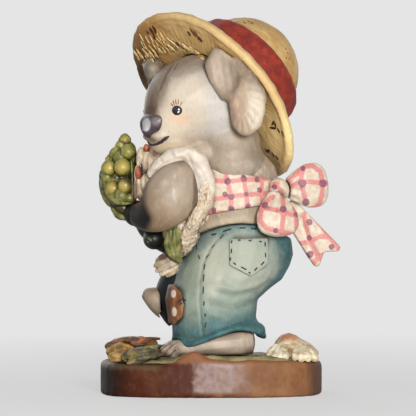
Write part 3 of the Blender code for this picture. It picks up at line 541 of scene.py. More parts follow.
leafGrooves = {
    "ground_leaf_orange": [[108, 343, 125, 341.5, 160, 338.6], [112, 347, 130, 345.6, 156, 343], [128, 338, 140, 341]],
    "ground_leaf_yellow": [[109, 351.4, 122, 349.4, 135, 347.6], [110, 355.6, 132, 352.6]],
    "ground_leaf_green": [[125, 358, 140, 354, 160, 349], [130, 353, 146, 348, 162, 346]],
}


def fallenPaint(name, colour, darker, lighter):
    pot = Pot(name + "Paint", 0.4, 0.3 if name.startswith("fallen") else 0.9)
    vein, cloud = pot.noise(0.7, 3.0, (3.5, 1, 1)), pot.noise(2.4)
    pot.coat(vein, 0.38, 0.6, darker, colour)
    pot.tint(cloud, 0.48, 0.7, lighter)
    if name == "fallen_blossom":
        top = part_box(name)[1].z / mm
        crest = pot.z + pot.noise(1.2) * 2.0 - (pot.x - 20.4).flat() * 0.16
        pot.tint(crest, top - 1.6, top + 0.4, (190, 98, 60), 0.8)
    return pot.finish(0.4 + vein * 0.2, vein + cloud * 0.5, 0.14)


for nodeName, (slot, shape, *colours) in fallen.items():
    blades = [addPetal(*row, *shape) for row in bladeRows[nodeName]]
    if "petal" in nodeName:   # the low petals are a fan of blades alone
        bit = joinPieces(blades[0], blades[1:])
        bit.name = dotted(nodeName)
    else:
        bit = joinPieces(copyNode(nodeName, dotted(nodeName)), blades)
    remesh(bit, 0.26, 2)
    if nodeName in leafGrooves:
        roughen(bit, 1.6, 0.4)
        carveLines(bit, leafGrooves[nodeName], 0.5, 0.34)
    finishPiece(bit, fallenPaint(nodeName, *colours), slot, nodeName)


def furPaint(name, base, dark, pale):
    pot = Pot(name, 0.4)
    cloud, strand = pot.noise(5.0), pot.noise(0.7, 3.0, (1, 1, 2.4))
    pot.coat(cloud, 0.3, 0.68, dark, base)
    pot.tint(strand * 0.45 + cloud * 0.55, 0.48, 0.7, pale, 0.5)
    return pot.finish(0.4 + strand * 0.14, strand + cloud * 0.6, 0.05)


arm = {"round": (171.5, 193.5), "shine": (177, 184), "dark": (156, 136, 114), "fur": (172, 152, 131), "narrow": 0.78}


def armPaint():
    pot = Pot("armFur", 0.35, 0.6)
    cloud, strand = pot.noise(6.0), pot.noise(0.8, 3.0, (1, 1, 2))
    pot.coat(cloud, 0.3, 0.7, arm["dark"], arm["fur"])
    pot.tint(pot.z + pot.x * 0.9 + cloud * 3.0, 44.0, 33.0, (140, 112, 84), 0.8)   # browner towards the elbow
    # painted highlight along the round of the arm
    streak = pot.soft(pot.noise(1.8, 3.0, (1, 2, 2.4)), 0.5, 0.72)
    pot.over(pot.blot(atDepth(*arm["shine"], -18.0), (3.4, 8.0, 4.4), 0.6) * (0.2 + streak * 0.5), (206, 194, 178))
    pot.tint(strand, 0.5, 0.74, (204, 190, 172), 0.18)
    middle = atDepth(*arm["round"], 0.0)   # beyond the round of the arm, on the side facing the camera, painted shade all but black
    outside = pot.away(middle, (7.5, 1000.0, 9.5)) + (cloud - 0.5) * 0.1
    lowLeft = pot.soft(pot.x - (pot.z - middle[2]) * 0.5, -10.0, -13.0) * pot.kept("near")
    pot.tint(outside, 0.74, 1.05, (14, 11, 11), lowLeft)
    return pot.finish(0.46 + strand * 0.12, strand + cloud * 0.6, 0.05)


def torsoPaint():
    pot = Pot("bodyFur", 0.4, 0.35)
    cloud, strand = pot.noise(4.0), pot.noise(0.7, 3.0, (1, 1, 2))
    pot.coat(cloud, 0.3, 0.68, (166, 149, 130), (186, 169, 149))
    midriff = pot.soft(pot.z + (cloud - 0.5) * 2.0, 51.0, 49.0)
    pot.over(midriff * 0.8, (198, 178, 150))
    pot.tint(strand, 0.5, 0.72, (222, 208, 190), 0.4)
    return pot.finish(0.42 + strand * 0.14, strand + cloud * 0.5 + midriff * pot.noise(0.9), 0.12)


def stipplePaint():
    pot = Pot("stippledFur", 0.35, 0.1, 0.25)
    tuft, cloud = pot.cells(1.0), pot.noise(2.0, 3.0)
    pot.coat(tuft, 0.85, 0.4, (206, 180, 144), (220, 201, 176))
    pot.tint(cloud, 0.45, 0.7, (228, 212, 192), 0.7)
    return pot.finish(0.42 + cloud * 0.1, -tuft + cloud * 0.4, 0.12)


print("fur")
torso = carvePiece("torso", "furBody", 0.45, 12, torsoPaint(), "grey_fur_paint")
armFur = armPaint()
for nodeName, pieceName, grain, soften in (("near_arm", "nearArm", 0.45, 14), ("far_arm", "farArm", 0.5, 14),
                                           ("near_paw", "nearPaw", 0.4, 8), ("far_paw", "farPaw", 0.4, 8)):
    limb = carve(nodeName, pieceName, grain, soften)
    if nodeName == "near_arm":
        pushOut(limb, 0.3)
        drawIn(limb, arm["round"][0], arm["narrow"])   # the frill wraps its back
    keepNear(limb)
    finishPiece(limb, armFur, "grey_fur_paint", nodeName)

foot = {"petal": (1.1, 0.2, 0), "heelEnd": 252, "heelKeep": 0.45, "beige": (192, 173, 152), "brown": (84, 68, 52)}
# toes in rows like those of the blades, and the gaps between them in pixels
toes = [
    (172, 340, 160, 352, 5, -3.0, -5.2), (174, 342, 161.5, 354.5, 5.4, -6.0, -7.4),
    (177, 344.5, 163, 358, 5.6, -8.4, -9.6), (183, 347, 168, 359.5, 6, -10.2, -11.2)]
toeGaps = [
    [173, 340.5, 166, 346, 158.6, 353], [175.6, 343.6, 168, 350, 161, 357], [179, 347, 172, 353, 165.6, 359.4],
    [170.6, 338.6, 163, 345, 157, 349]]
nearFoot = joinPieces(copyNode("near_foot", "nearFoot"), [addPetal(*row, *foot["petal"]) for row in toes] + [
    addBall("heel", atDepth(250, 341, -6.0), (2.2, 4.4, 2.6)), addBall("sole", (2.4, -6.0, 11.4), (9.0, 4.3, 1.5))])
remesh(nearFoot, 0.34, 5)
drawIn(nearFoot, foot["heelEnd"], foot["heelKeep"])   # the heel drops straight to the ground
carveLines(nearFoot, toeGaps, 0.5, 0.32)
beigeFur = furPaint("beigeFur", foot["beige"], (166, 148, 129), (210, 194, 174))
finishPiece(nearFoot, beigeFur, "grey_fur_paint", "near_foot")
# painted shade: dark brown strokes in the gaps between the toes
toeShade = brush("toeShade", surfaceOf(nearFoot), toeGaps, 1.3, 0.05)
finishPiece(toeShade, plainPaint("toeBrown", foot["brown"], 0.5), "grey_fur_paint")
farFoot = joinPieces(copyNode("far_foot", "farFoot"), [addBall("ankle", atDepth(157, 300, 6.2), (2.6, 3.6, 3.2))])
remesh(farFoot, 0.38, 8)
# the same fur as the near foot, painted darker as shade on the foot behind
farFootShadedFur = furPaint("farFootShadedFur", (162, 142, 120), (136, 116, 94), (180, 162, 140))
finishPiece(farFoot, farFootShadedFur, "grey_fur_paint", "far_foot")
stipple = stipplePaint()
bellyFur = carvePiece("belly_fur", "bellyFur", 0.4, 6, stipple, "cream_fur_paint", 0.8, 0.7, "STUCCI")

headSettings = {"yaw": 35, "middle": (-1.4, 0.0, 75.9), "eye": (177, 110.5), "eyeRound": (1.42, 0.75, 1.32),
                "eyeSunk": 0.25}
faceBalls = [((15.0, 1.6, -8.0), (3.4, 3.2, 1.6)), ((15.0, -1.6, -8.0), (3.4, 3.2, 1.6)),   # lip pads and chin
             ((11.4, 0, -11.0), (5.6, 6.4, 2.9))]
napeBalls = [((5.2, -1.0, 66.4), (8.2, 12.6, 7.4)), ((5.4, -0.6, 63.0), (8.6, 12.4, 6.0)),
             ((-2.0, -1.0, 63.6), (6.0, 10.6, 4.6)), ((5.6, -0.4, 60.2), (9.6, 13.1, 7.0))]
headDabs = [   # pixel, half sizes forward, aside and up, shade, amount, softness
    (188, 66, (6, 7, 3.4), (150, 138, 124), 0.9, 0.5),          # forehead under the fringe
    (205, 138, (8, 7, 6), (200, 183, 164), 0.95, 0.5),          # jaw
    (228, 142, (6, 9, 7), (172, 154, 134), 0.95, 0.5),          # nape
    (212, 110, (6.5, 6, 7.5), (198, 192, 184), 0.95, 0.5),      # pale cheek
    (200, 84, (4.5, 5, 4.5), (196, 186, 174), 0.9, 0.5),
    (182, 110, (7.0, 5.6, 6.8), (208, 192, 170), 1.0, 0.5),     # cream round the eye
    (185, 90, (5, 4, 3.8), (212, 198, 178), 0.9, 0.5),
    (168, 128, (4.6, 4, 4.4), (216, 200, 177), 0.9, 0.5),
    (165, 150, (6, 5, 2.8), (194, 174, 142), 0.9, 0.5),         # chin
    (179, 119, (2.8, 2.4, 1.6), (228, 188, 158), 0.6, 0.5),     # peach blush under the eye
    (152, 103, (3.4, 2.4, 4.4), (98, 68, 50), 0.95, 0.4),       # brown bridge of the nose, deepened with painted shade towards the edge of the head
    (160, 90, (2.8, 2.2, 4.4), (138, 116, 100), 0.7, 0.5),
    (155, 82, (2.6, 3.0, 5.0), (128, 112, 98), 0.6, 0.5),
]
yaw = math.radians(headSettings["yaw"])
facing = Vector((-math.cos(yaw), -math.sin(yaw), 0))
leftward = Vector((math.sin(yaw), -math.cos(yaw), 0))   # the near cheek
headTurn = Matrix((facing, leftward, (0, 0, 1))).transposed()


def onHead(forward, aside, up):
    return Vector(headSettings["middle"]) + facing * forward + leftward * aside + Vector((0, 0, up))


def headPaint():
    pot = Pot("paintedHead", 0.32, 0.3, 0.15)
    away = pot.vector("SUBTRACT", pot.here, headSettings["middle"])
    forward = pot.vector("DOT_PRODUCT", away, facing, out=1)
    aside = pot.vector("DOT_PRODUCT", away, leftward, out=1).flat()
    where = pot.join(forward, aside, pot.split(away)[2])
    cloud, strand = pot.noise(3.6, 3.0), pot.noise(0.55, 3.0, (1, 1, 2.5))
    wobble = (pot.noise(2.4, 3.0) - 0.5) * 0.6
    pot.coat(cloud, 0.36, 0.64, (150, 137, 122), (172, 158, 142))
    for px, py, radii, shade, amount, soft in headDabs:
        spot = spotOn(headTree, px, py)[0] / mm - Vector(headSettings["middle"])
        centre = (spot.dot(facing), abs(spot.dot(leftward)), spot.z)
        pot.over(pot.blot(centre, radii, soft, where, wobble) * amount, shade)
    pot.tint(strand, 0.52, 0.74, (228, 218, 204), 0.16)
    pot.tint(strand, 0.46, 0.3, (120, 100, 88), 0.14)
    return pot.finish(0.4 + strand * 0.14, strand + cloud * 0.5, 0.04)


def nosePaint():
    pot = Pot("nosePaint", 0.5, 0.3)
    streak = pot.noise(0.7, 3.0)
    pot.coat(streak, 0.36, 0.62, (56, 42, 48), (86, 68, 72))
    # painted highlights: a soft grey sheen on the right of the nose, a pale glint on the left
    pot.over(pot.blot(touch(noseTree, 156, 121), (1.5, 3, 1.0), 0.6) * 0.6, (142, 134, 134))
    glint = pot.blot(touch(noseTree, 146, 124.6), (1.35, 2.6, 1.75), 0.2)
    pot.over(glint * (0.8 + streak * 0.3), (222, 226, 224))
    pot.tint(pot.z + streak * 0.8, 73.2, 74.4, (124, 94, 76))
    return pot.finish(0.3 + streak * 0.2, streak, 0.05)


print("head")
headBalls = [addBall("face", onHead(*place), radii, headTurn) for place, radii in faceBalls]
headBalls += [addBall("nape", place, radii) for place, radii in napeBalls]   # fills under the hat
head = joinPieces(copyNode("head", "koalaHead"), headBalls)
remesh(head, 0.42, 16)
headTree = surfaceOf(head)
finishPiece(head, headPaint(), "grey_fur_paint", "head")

noseSettings = {"halfSizes": (2.7, 4.3, 3.7), "place": (16.5, 0, -4.9), "widen": 0.3}
nose = addBall("koalaNose", (0, 0, 0), noseSettings["halfSizes"], None, 48, 32)
points = getPoints(nose)   # wide at the top, drawn to a point below
share = points[:, 2] / noseSettings["halfSizes"][2]
points[:, 1] *= 1 + noseSettings["widen"] * share
points[:, 0] += 0.9 * smoothStep(0.2, -1.0, share) - 0.25 * points[:, 2] * smoothStep(0, 1, share)
for push, aside, wide, up, tall in ((0.3, 2.6, 0.9, 0.1, 0.4), (-0.35, 1.4, 0.35, -0.2, 0.3)):   # swell and nostrils
    points[:, 0] += push * np.exp(-((np.abs(points[:, 1]) - aside) / wide) ** 2 - ((share - up) / tall) ** 2)
setPoints(nose, points @ np.array(headTurn).T + np.array(onHead(*noseSettings["place"])))
noseTree = surfaceOf(nose)
finishPiece(nose, nosePaint(), "dark_nose_paint", "nose")


def makeEye(name, spot, normal):
    side = Vector((0, 0, 1)).cross(normal).normalized()
    turn = Matrix((side, normal, normal.cross(side))).transposed()
    eye = addBall(name, spot / mm - normal * headSettings["eyeSunk"], headSettings["eyeRound"], turn, 32, 20)
    finishPiece(eye, blackPaint, "dark_nose_paint")
    return eye


def otherCheek(piece):   # the same strokes on the far side of the face
    other = newPiece(piece.name + "Far", piece.data.copy())
    points = getPoints(other)
    away = (points - np.array(headSettings["middle"])) @ np.array(leftward)
    setPoints(other, points - 2 * np.outer(away, np.array(leftward)))
    editWhole(other, bpy.ops.mesh.flip_normals)
    return other


faceStrokes = {
    "lashes": [[173.4, 106.6, 170.6, 103], [174.6, 105.6, 172.8, 100], [176.4, 104.9, 175.4, 99.2],
        [178.2, 104.9, 178.4, 99.2], [180.2, 105.8, 182.2, 101.6]],
    "mouth": [([149.5, 143.2, 153, 145.2, 156, 145, 161.3, 142.2], 1.5),
        ([155, 144.8, 161.3, 142.0, 165, 139.0, 167.6, 137, 169.4, 136.4], 4.6)],
    "forehead": [[171.6, 64.5, 167, 72, 162.5, 82], [175, 62.5, 170, 70, 166, 77], [168, 73, 163, 84, 160, 92],
        [178, 63, 173.5, 71], [164, 80, 160.5, 88, 157.5, 96]],
}
blackPaint = plainPaint("eyeBlack", (24, 20, 22), 0.16, 0.6)
eyeSpot, eyeNormal = spotOn(headTree, *headSettings["eye"])
nearEye = makeEye("nearEye", eyeSpot, eyeNormal)
mirror = Matrix.Identity(3) - 2 * Matrix([[a * b for b in leftward] for a in leftward])
middle = Vector(headSettings["middle"]) * mm
makeEye("farEye", *headTree.find_nearest(mirror @ (eyeSpot - middle) + middle)[:2])
faceLines = [
    (brush("eyeGlint", surfaceOf(nearEye), [([177.5, 113.2, 178.6, 111.8, 179.3, 110.3], 1.7)], raised=0.12),
     plainPaint("glintWhite", (236, 232, 228), 0.3), "petal_white_paint"),
    (brush("eyeLashes", headTree, faceStrokes["lashes"], 1.1, 0.08),
     plainPaint("lashBrown", (158, 98, 46), 0.5), "dark_nose_paint"),
    (brush("mouthLine", surfaceOf(head, nose), faceStrokes["mouth"], 1.5, 0.16),
     plainPaint("mouthDark", (58, 42, 50), 0.45), "dark_nose_paint"),
]
for line, paint, slot in faceLines:
    finishPiece(otherCheek(line), paint, slot)
    finishPiece(line, paint, slot)
forehead = brush("foreheadStrokes", headTree, faceStrokes["forehead"], 1.7, 0.06)
finishPiece(forehead, plainPaint("foreheadBrown", (116, 94, 80), 0.5), "grey_fur_paint")

earDabs = [   # pixel, half sizes, softness, amount and shade: the hollow, the fluff, its light edge, the crease
    (222, 72, (4.4, 5, 6.4), 0.4, 0.95, (182, 162, 143)), (247, 112, (5.4, 6, 7.4), 0.4, 1.0, (186, 163, 137)),
    (256, 112, (2.4, 6, 5.0), 0.6, 0.8, (222, 208, 186)), (235, 110, (2.4, 6, 3.6), 0.7, 0.6, (190, 156, 134)),
]


def earPaint(name, near):
    pot = Pot(name, 0.4, 0.2)
    cloud, strand = pot.noise(2.6, 3.0), pot.noise(0.5, 3.0, (1, 1, 3))
    if near:
        pot.coat(cloud, 0.36, 0.62, (118, 100, 80), (142, 124, 102))
        for px, py, radii, soft, amount, shade in earDabs:
            pot.over(pot.blot(touch(earTree, px, py), radii, soft) * amount, shade)
    else:
        pot.coat(cloud, 0.36, 0.62, (128, 116, 102), (154, 142, 126))
    pot.tint(strand, 0.5, 0.72, (226, 214, 196) if near else (160, 148, 130), 0.2)
    pot.tint(strand, 0.46, 0.3, (140, 118, 100), 0.2)
    return pot.finish(0.45 + strand * 0.15, strand + cloud * 0.6, 0.07)


earLines = {   # depth, width and lines
    "rim": (-0.5, 0.9, [[208, 84, 206, 70, 215, 53, 226, 52],
                        [240, 66, 256, 86, 262, 100, 261, 112, 255, 126, 246, 134, 236, 133]]),
    "fur": (0.22, 0.42, [[238, 120, 233, 131], [240, 121, 240, 134], [243, 120, 247, 133], [246, 116, 253, 128],
                         [249, 110, 259, 121], [250, 104, 262, 112], [249, 97, 263, 102], [246, 90, 261, 93]]),
    "hollow": (0.12, 0.5, [[214, 62, 219, 88], [220, 58, 226, 92], [227, 60, 233, 92]]),
}
nearEar = copyNode("near_ear", "nearEar")
earTree, brimTree = surfaceOf(nearEar), surfaceOf(nodes["hat_brim"])
fill = []
for px, py, wide, tall in ((236, 106, 8, 9), (239, 118, 7, 9), (240, 96, 9, 9)):   # the fold between the two lobes
    y = min(spotOn(earTree, px + 8, py)[0].y, spotOn(earTree, px + 6, py - 4)[0].y) / mm
    fill.append(photoBall("earFill", px, py, wide, tall, y + 3.4, 3.0))
for px, py, wide, tall in ((238, 70, 9, 12), (249, 84, 9, 13), (257, 99, 8, 13)):   # carries the ear out to the rim
    y = spotOn(earTree, px - 8, py + 8)[0].y / mm + 2.4
    brimSpot = spotOn(brimTree, px, py)[0]
    fill.append(photoBall("earFill", px, py, wide, tall, min(y, brimSpot.y / mm - 2.6) if brimSpot else y, 1.9))
joinPieces(nearEar, fill)
remesh(nearEar, 0.36, 13)
for depth, width, lines in earLines.values():
    carveLines(nearEar, lines, depth, width)
earTree = surfaceOf(nearEar)
finishPiece(nearEar, earPaint("nearEarPaint", True), "cream_fur_paint", "near_ear")
farEar = carvePiece("far_ear", "farEar", 0.4, 8, earPaint("farEarPaint", False), "grey_fur_paint")

hat = {"tilt": 51, "lift": 7.0, "aside": -2.0, "radius": 27.8, "straw": (208, 172, 112), "deep": (134, 94, 46),
       "shine": (220, 192, 134), "red": (146, 50, 36)}
tilt = math.radians(hat["tilt"])
hatAxis = Vector((0, 0, 1)) * math.cos(tilt) - facing * math.sin(tilt)
hatAhead = facing * math.cos(tilt) + Vector((0, 0, 1)) * math.sin(tilt)
hatSide = hatAxis.cross(hatAhead)


def inHat(piece, aside):   # turn round the hat, distance from its axis, and height along it, for every point
    away = getPoints(piece) - np.array(Vector(headSettings["middle"]) + hatAxis * hat["lift"] + hatSide * aside)
    ahead, side, up = away @ np.array(hatAhead), away @ np.array(hatSide), away @ np.array(hatAxis)
    return np.arctan2(side, ahead), np.hypot(side, ahead), up


def keepHatWays(piece, aside):
    turn, reach, up = inHat(piece, aside)
    keepOnPiece(piece, "hatTurn", turn)
    keepOnPiece(piece, "hatRun", reach * 0.7 - up)
    keepOnPiece(piece, "hatRim", reach / hat["radius"])
    keepOnPiece(piece, "hatUnder", smoothStep(0.1, -0.4, getNormals(piece) @ np.array(hatAxis)))


def strawPaint():
    pot = Pot("strawPaint", 0.2, 0.45)
    cloud, fine = pot.noise(5.0, 3.0), pot.noise(0.7, 3.0)
    run, inside = pot.kept("hatRun"), pot.kept("hatUnder")
    plait = pot.noise(0.8, 3.0, (1, 1, 2), pot.join(pot.kept("hatTurn") * 3.0, run, cloud * 2.0))
    pot.coat(cloud, 0.3, 0.7, (190, 148, 86), hat["straw"])
    pot.tint(plait * 0.6 + fine * 0.4, 0.48, 0.32, hat["deep"], 0.5)
    pot.tint(plait * 0.5 + cloud * 0.5, 0.5, 0.68, hat["shine"], 0.6)
    # painted highlight: the rolled rim lighter along the edge
    pot.tint(pot.kept("hatRim"), 0.9, 0.95, (214, 190, 142), pot.soft(run, 10.0, 14.0) * 0.5)
    # painted light on the underside of the brim
    pot.over(inside * 0.34, (250, 208, 142))
    # painted shade: darker and more orange on the left of the underside
    pot.over(pot.blot(atDepth(146, 46, 0.0), (5.6, 40.0, 9.0), 0.7) * inside * 0.7, (176, 112, 44))
    # painted light: a pale patch low on the right of the brim
    pot.over(pot.blot(atDepth(278, 146, -10.0), (6.4, 18.0, 8.0), 0.5) * 0.95, (255, 226, 162))
    pot.over(pot.blot(atDepth(137, 72, 0.0), (4.2, 40.0, 9.0), 0.8) * 0.85, (48, 32, 18))   # the shaded far edge
    return pot.finish(0.32 + fine * 0.18, plait + fine * 0.6 + cloud * 0.4, 0.09)


def bandPaint():
    pot = Pot("bandPaint", 0.26)
    cloud, fine = pot.noise(2.2, 4.0), pot.noise(0.7, 3.0)
    pot.coat(cloud, 0.36, 0.62, (122, 42, 34), hat["red"])
    pot.tint(fine * 0.5 + cloud * 0.5, 0.52, 0.68, (170, 72, 48), 0.6)
    pot.tint(fine * 0.5 + cloud * 0.5, 0.44, 0.3, (96, 40, 44), 0.5)
    return pot.finish(0.42 + fine * 0.2, fine + cloud, 0.07)


def fringePaint():
    pot = Pot("fringeStraw", 0.5, 0.1)
    cloud = pot.noise(1.2)
    pot.coat(cloud, 0.35, 0.6, (196, 158, 94), (226, 200, 144))
    return pot.finish(0.3 + cloud * 0.1)


print("hat")
straw = strawPaint()
brim = carve("hat_brim", "hatBrim", 0.4, 8)
turn, reach, up = inHat(brim, hat["aside"])
share = reach / (hat["radius"] * (1 + 0.015 * np.sin(3 * turn + 1)))
rim = -0.1 * np.exp(-((share - 0.9) / 0.03) ** 2) + 0.3 * np.exp(-((share - 0.955) / 0.035) ** 2)
under = smoothStep(0.2, -0.4, getNormals(brim) @ np.array(hatAxis))
strawCut = np.sin(turn * 84 + 2.6 * np.sin(reach * 0.45 + turn * 3)) * (0.55 + 0.45 * np.sin(turn * 7 + reach * 0.4))
pushOut(brim, rim * (0.4 + 0.6 * under) + 0.07 * strawCut * smoothStep(0.9, 0.8, share) * under)
roughen(brim, 4.0, 0.5)
keepHatWays(brim, hat["aside"])
finishPiece(brim, straw, "straw_paint", "hat_brim")
crown = carve("hat_crown", "hatCrown", 0.45, 10)
roughen(crown, 4.0, 0.5)
keepHatWays(crown, 0)
finishPiece(crown, straw, "straw_paint", "hat_crown")
carvePiece("hat_band", "hatBand", 0.4, 8, bandPaint(), "red_band_paint")

hatStrokes = {
    "ticks": [[149.5, 27, 151, 30, 154.5, 36], [152.4, 25.6, 154.6, 29, 156, 34], [153.5, 35.5, 155.5, 40],
        [143, 43, 145.5, 47.5], [147, 31, 148.6, 34], [187.6, 31, 190.6, 36], [190, 28, 193.6, 33.6, 196, 37],
        [194, 30, 197.4, 36, 199, 40], [198.8, 36.6, 202, 42.4], [176, 41.8, 181, 46.6], [178.4, 44.6, 184, 49.4],
        [182, 45.6, 186.6, 50.4], [175, 46, 178, 48.4], [271.6, 125.4, 274.4, 121.4, 276, 128],
        [269.8, 127.6, 276, 128.6], [277.6, 127.8, 279.8, 133], [281.6, 130.8, 284, 137], [264.6, 148.8, 270, 153.4],
        [266.4, 152, 269.6, 150], [272, 151.8, 274.6, 157], [275.8, 155.2, 278.6, 160]],
    "crown": [[284.8, 48, 286.4, 49.8], [287, 52.2, 288.2, 54], [285.8, 57, 287, 58.8], [288.8, 58, 289.6, 60],
        [247, 20.4, 250, 22], [250.5, 21.5, 253.5, 24.6], [243, 21.6, 246, 24]],
    "fringe": [],
    "gaps": [],
}
hairline = [
    (137.5, 61), (145, 60), (153, 61), (158, 57), (165, 53.5), (174, 51), (183, 50.5), (192, 52.5), (200, 56),
    (205, 59)]
strands = {"count": 26, "long": 11, "slant": 0.38, "loose": 10}
for i in range(strands["count"]):
    t = 0.3 + i / (strands["count"] - 1) * (len(hairline) - 1.3)
    x, y = alongWay(hairline, t)
    y += 1.2 * math.sin(i * 4.1)
    long = strands["long"] + 3 * math.sin(i * 1.7) - (3 if i % 2 else 0)
    slant = long * (strands["slant"] + 0.12 * math.sin(i * 3.3) + 0.035 * max(0, i - 8))
    for shift, group, wide in ((0, "fringe", 2.9 + 0.6 * math.sin(i * 5.1)), (2.2, "gaps", 1.2)):
        stops = [x - slant * 1.5 + shift, y - long * 0.95, x - slant * 0.8 + shift, y - long * 0.55, x + shift, y]
        hatStrokes[group].append((stops, wide))
for i in range(strands["loose"]):   # nearer the rim, on the left
    x, y = 143 + 5.4 * (i % 5) + 1.5 * math.sin(i * 2.9), 40 + 6.5 * (i // 5) + 2 * math.sin(i * 1.3)
    hatStrokes["fringe"].append(([x - 3.4, y - 6, x - 1.6, y - 2.4, x + 1.4, y + 2.6], 1.5))
strawTree, strandTree = surfaceOf(brim, crown), surfaceOf(brim, head, farEar)
for name, tree, group, width, raised, paint in (
        ("hatTicks", strawTree, "ticks", 3.2, 0.18, plainPaint("tickBrown", (112, 56, 26), 0.5)),
        ("hatDots", strawTree, "crown", 1.4, 0.1, plainPaint("dotBrown", (104, 62, 34), 0.4)),
        ("fringeGaps", strandTree, "gaps", 0.9, 0.06, plainPaint("gapBrown", (116, 76, 34), 0.5)),
        ("hatFringe", strandTree, "fringe", 2.2, 0.26, fringePaint())):
    finishPiece(brush(name, tree, hatStrokes[group], width, raised), paint, "straw_paint")

jeans = {"teal": (70, 111, 112), "wearAndHighlight": (180, 182, 165), "deep": (50, 86, 90), "stitch": (34, 40, 58)}
wearAndHighlightPlaces = [   # pixel, distance from the middle plane, half sizes, shade, amount
    (228, 264, 13, (12.5, 9, 8.4), jeans["wearAndHighlight"], 0.95), (194, 288, 11, (5.6, 8, 9.5), (152, 160, 142), 0.85),
    (222, 298, 11, (9, 8, 4.6), (152, 163, 149), 0.8), (248, 256, 13, (7.0, 6, 6.0), (166, 170, 153), 0.75),
    (212, 272, 13, (2.6, 6, 6.0), (196, 194, 174), 0.6),
]
hem = {"middle": (2.0, -5.2, 14.2), "halfLong": 12.1, "halfWide": 9.4, "slope": 0.08, "rise": 2.0, "skew": 4.0,
       "thick": 0.8, "stops": 64}
waistLine = [178, 262, 190, 247, 206, 237, 222, 233.5, 250, 231]
longFolds = [[216, 289, 232, 294, 252, 290, 270, 281], [212, 303, 230, 307, 250, 302]]
jeansLines = [   # lines, depth, width and side
    ([[221.6, 233, 210.6, 246, 202.6, 262, 200, 280, 199.6, 300, 201.2, 318, 202.6, 330]], 0.4, 0.4, -1),
    ([[172, 335, 200, 334, 215, 328, 230, 322, 245, 319, 258, 322]], 0.25, 0.5, -1),
    (longFolds + [[222, 279, 240, 285, 262, 278], [176, 288, 190, 292], [176, 318, 192, 312]], 0.42, 1.1, -1),
    ([[216, 283, 234, 288, 256, 284], [214, 296, 232, 300, 252, 296], [210, 312, 230, 315, 250, 311]], -0.25, 1.0, -1),
    ([waistLine], 0.22, 0.35, -1), ([waistLine], 0.22, 0.35, 1), (longFolds, 0.4, 1.1, 1),
]


def denimPaint():
    pot = Pot("denimPaint", 0.28, 0.7, 0.22)
    where = pot.join(pot.x, pot.y.flat(), pot.z)
    cloud, weave = pot.noise(3.6, 3.0), pot.noise(0.45, 2.0, (1, 1, 2))
    pot.coat(cloud, 0.34, 0.66, jeans["deep"], jeans["teal"])
    # pale patches: wear on the denim, and on the middle of the leg also a painted highlight
    for px, py, aside, radii, shade, amount in wearAndHighlightPlaces:
        pot.over(pot.blot(atDepth(px, py, aside), radii, 0.5, where, (cloud - 0.5) * 0.9) * amount, shade)
    pot.tint(weave, 0.5, 0.72, (190, 194, 176), 0.12)
    pot.tint(weave, 0.42, 0.28, jeans["deep"], 0.2)
    farLegShade = pot.soft(pot.y, -0.5, 1.0) * pot.kept("near")   # painted shade, all but black, on the far leg where the near leg covers it
    pot.tint(pot.x, -4.0, -8.0, (16, 20, 24), farLegShade)
    return pot.finish(0.42 + weave * 0.18, weave + cloud * 0.4, 0.05)


def hemStop(turn):   # the turned-up edge of the standing leg
    x, y, z = hem["middle"]
    along = hem["halfLong"] * math.cos(turn)
    up = hem["slope"] * along + (hem["rise"] + hem["skew"] * math.cos(turn)) * math.sin(turn) ** 2
    return x + along, y + hem["halfWide"] * math.sin(turn), z + up


def patchPaint():
    pot = Pot("patchPaint", 0.26)
    cloud = pot.noise(1.6, 3.0)
    pot.coat(cloud, 0.36, 0.64, (126, 78, 48), (164, 108, 68))
    pot.tint(pot.x + cloud, -7.4, -5.6, (146, 142, 113), 0.85)
    # painted shade: the patch darkens towards its left edge
    pot.tint(pot.x, -9.6, -11.0, (60, 36, 24), 0.8)
    for px, py, tall in ((174.2, 292.4, 1.05), (175, 310, 1.3)):
        pot.over(pot.blot(atDepth(px, py, -9.0), (0.72, 4.0, tall), 0.16), (232, 214, 196))
    return pot.finish(0.45 + cloud * 0.15, cloud, 0.06)


print("jeans")
denim = denimPaint()
trousers = joinPieces(copyNode("trousers", "jeans"), [
    addRoll("hemRoll", [hemStop(math.tau * i / hem["stops"]) for i in range(hem["stops"])], hem["thick"], True),
    addBall("hemCorner", atDepth(259.5, 329.5, -5.4), (1.5, 5.0, 1.9)), copyNode("far_trouser_leg", "farLeg")])
remesh(trousers, 0.42, 12)
for cut in jeansLines:
    carveLines(trousers, *cut)
roughen(trousers, 5.0, 0.35)
keepNear(trousers)
finishPiece(trousers, denim, "denim_paint", "trousers", "far_trouser_leg")
nearPocket = carvePiece("near_pocket", "nearPocket", 0.28, 4, denim, "denim_paint")
farPocket = carvePiece("far_pocket", "farPocket", 0.28, 4, denim, "denim_paint")
kneePatch = carvePiece("knee_patch", "kneePatch", 0.28, 4, patchPaint(), "patch_paint")

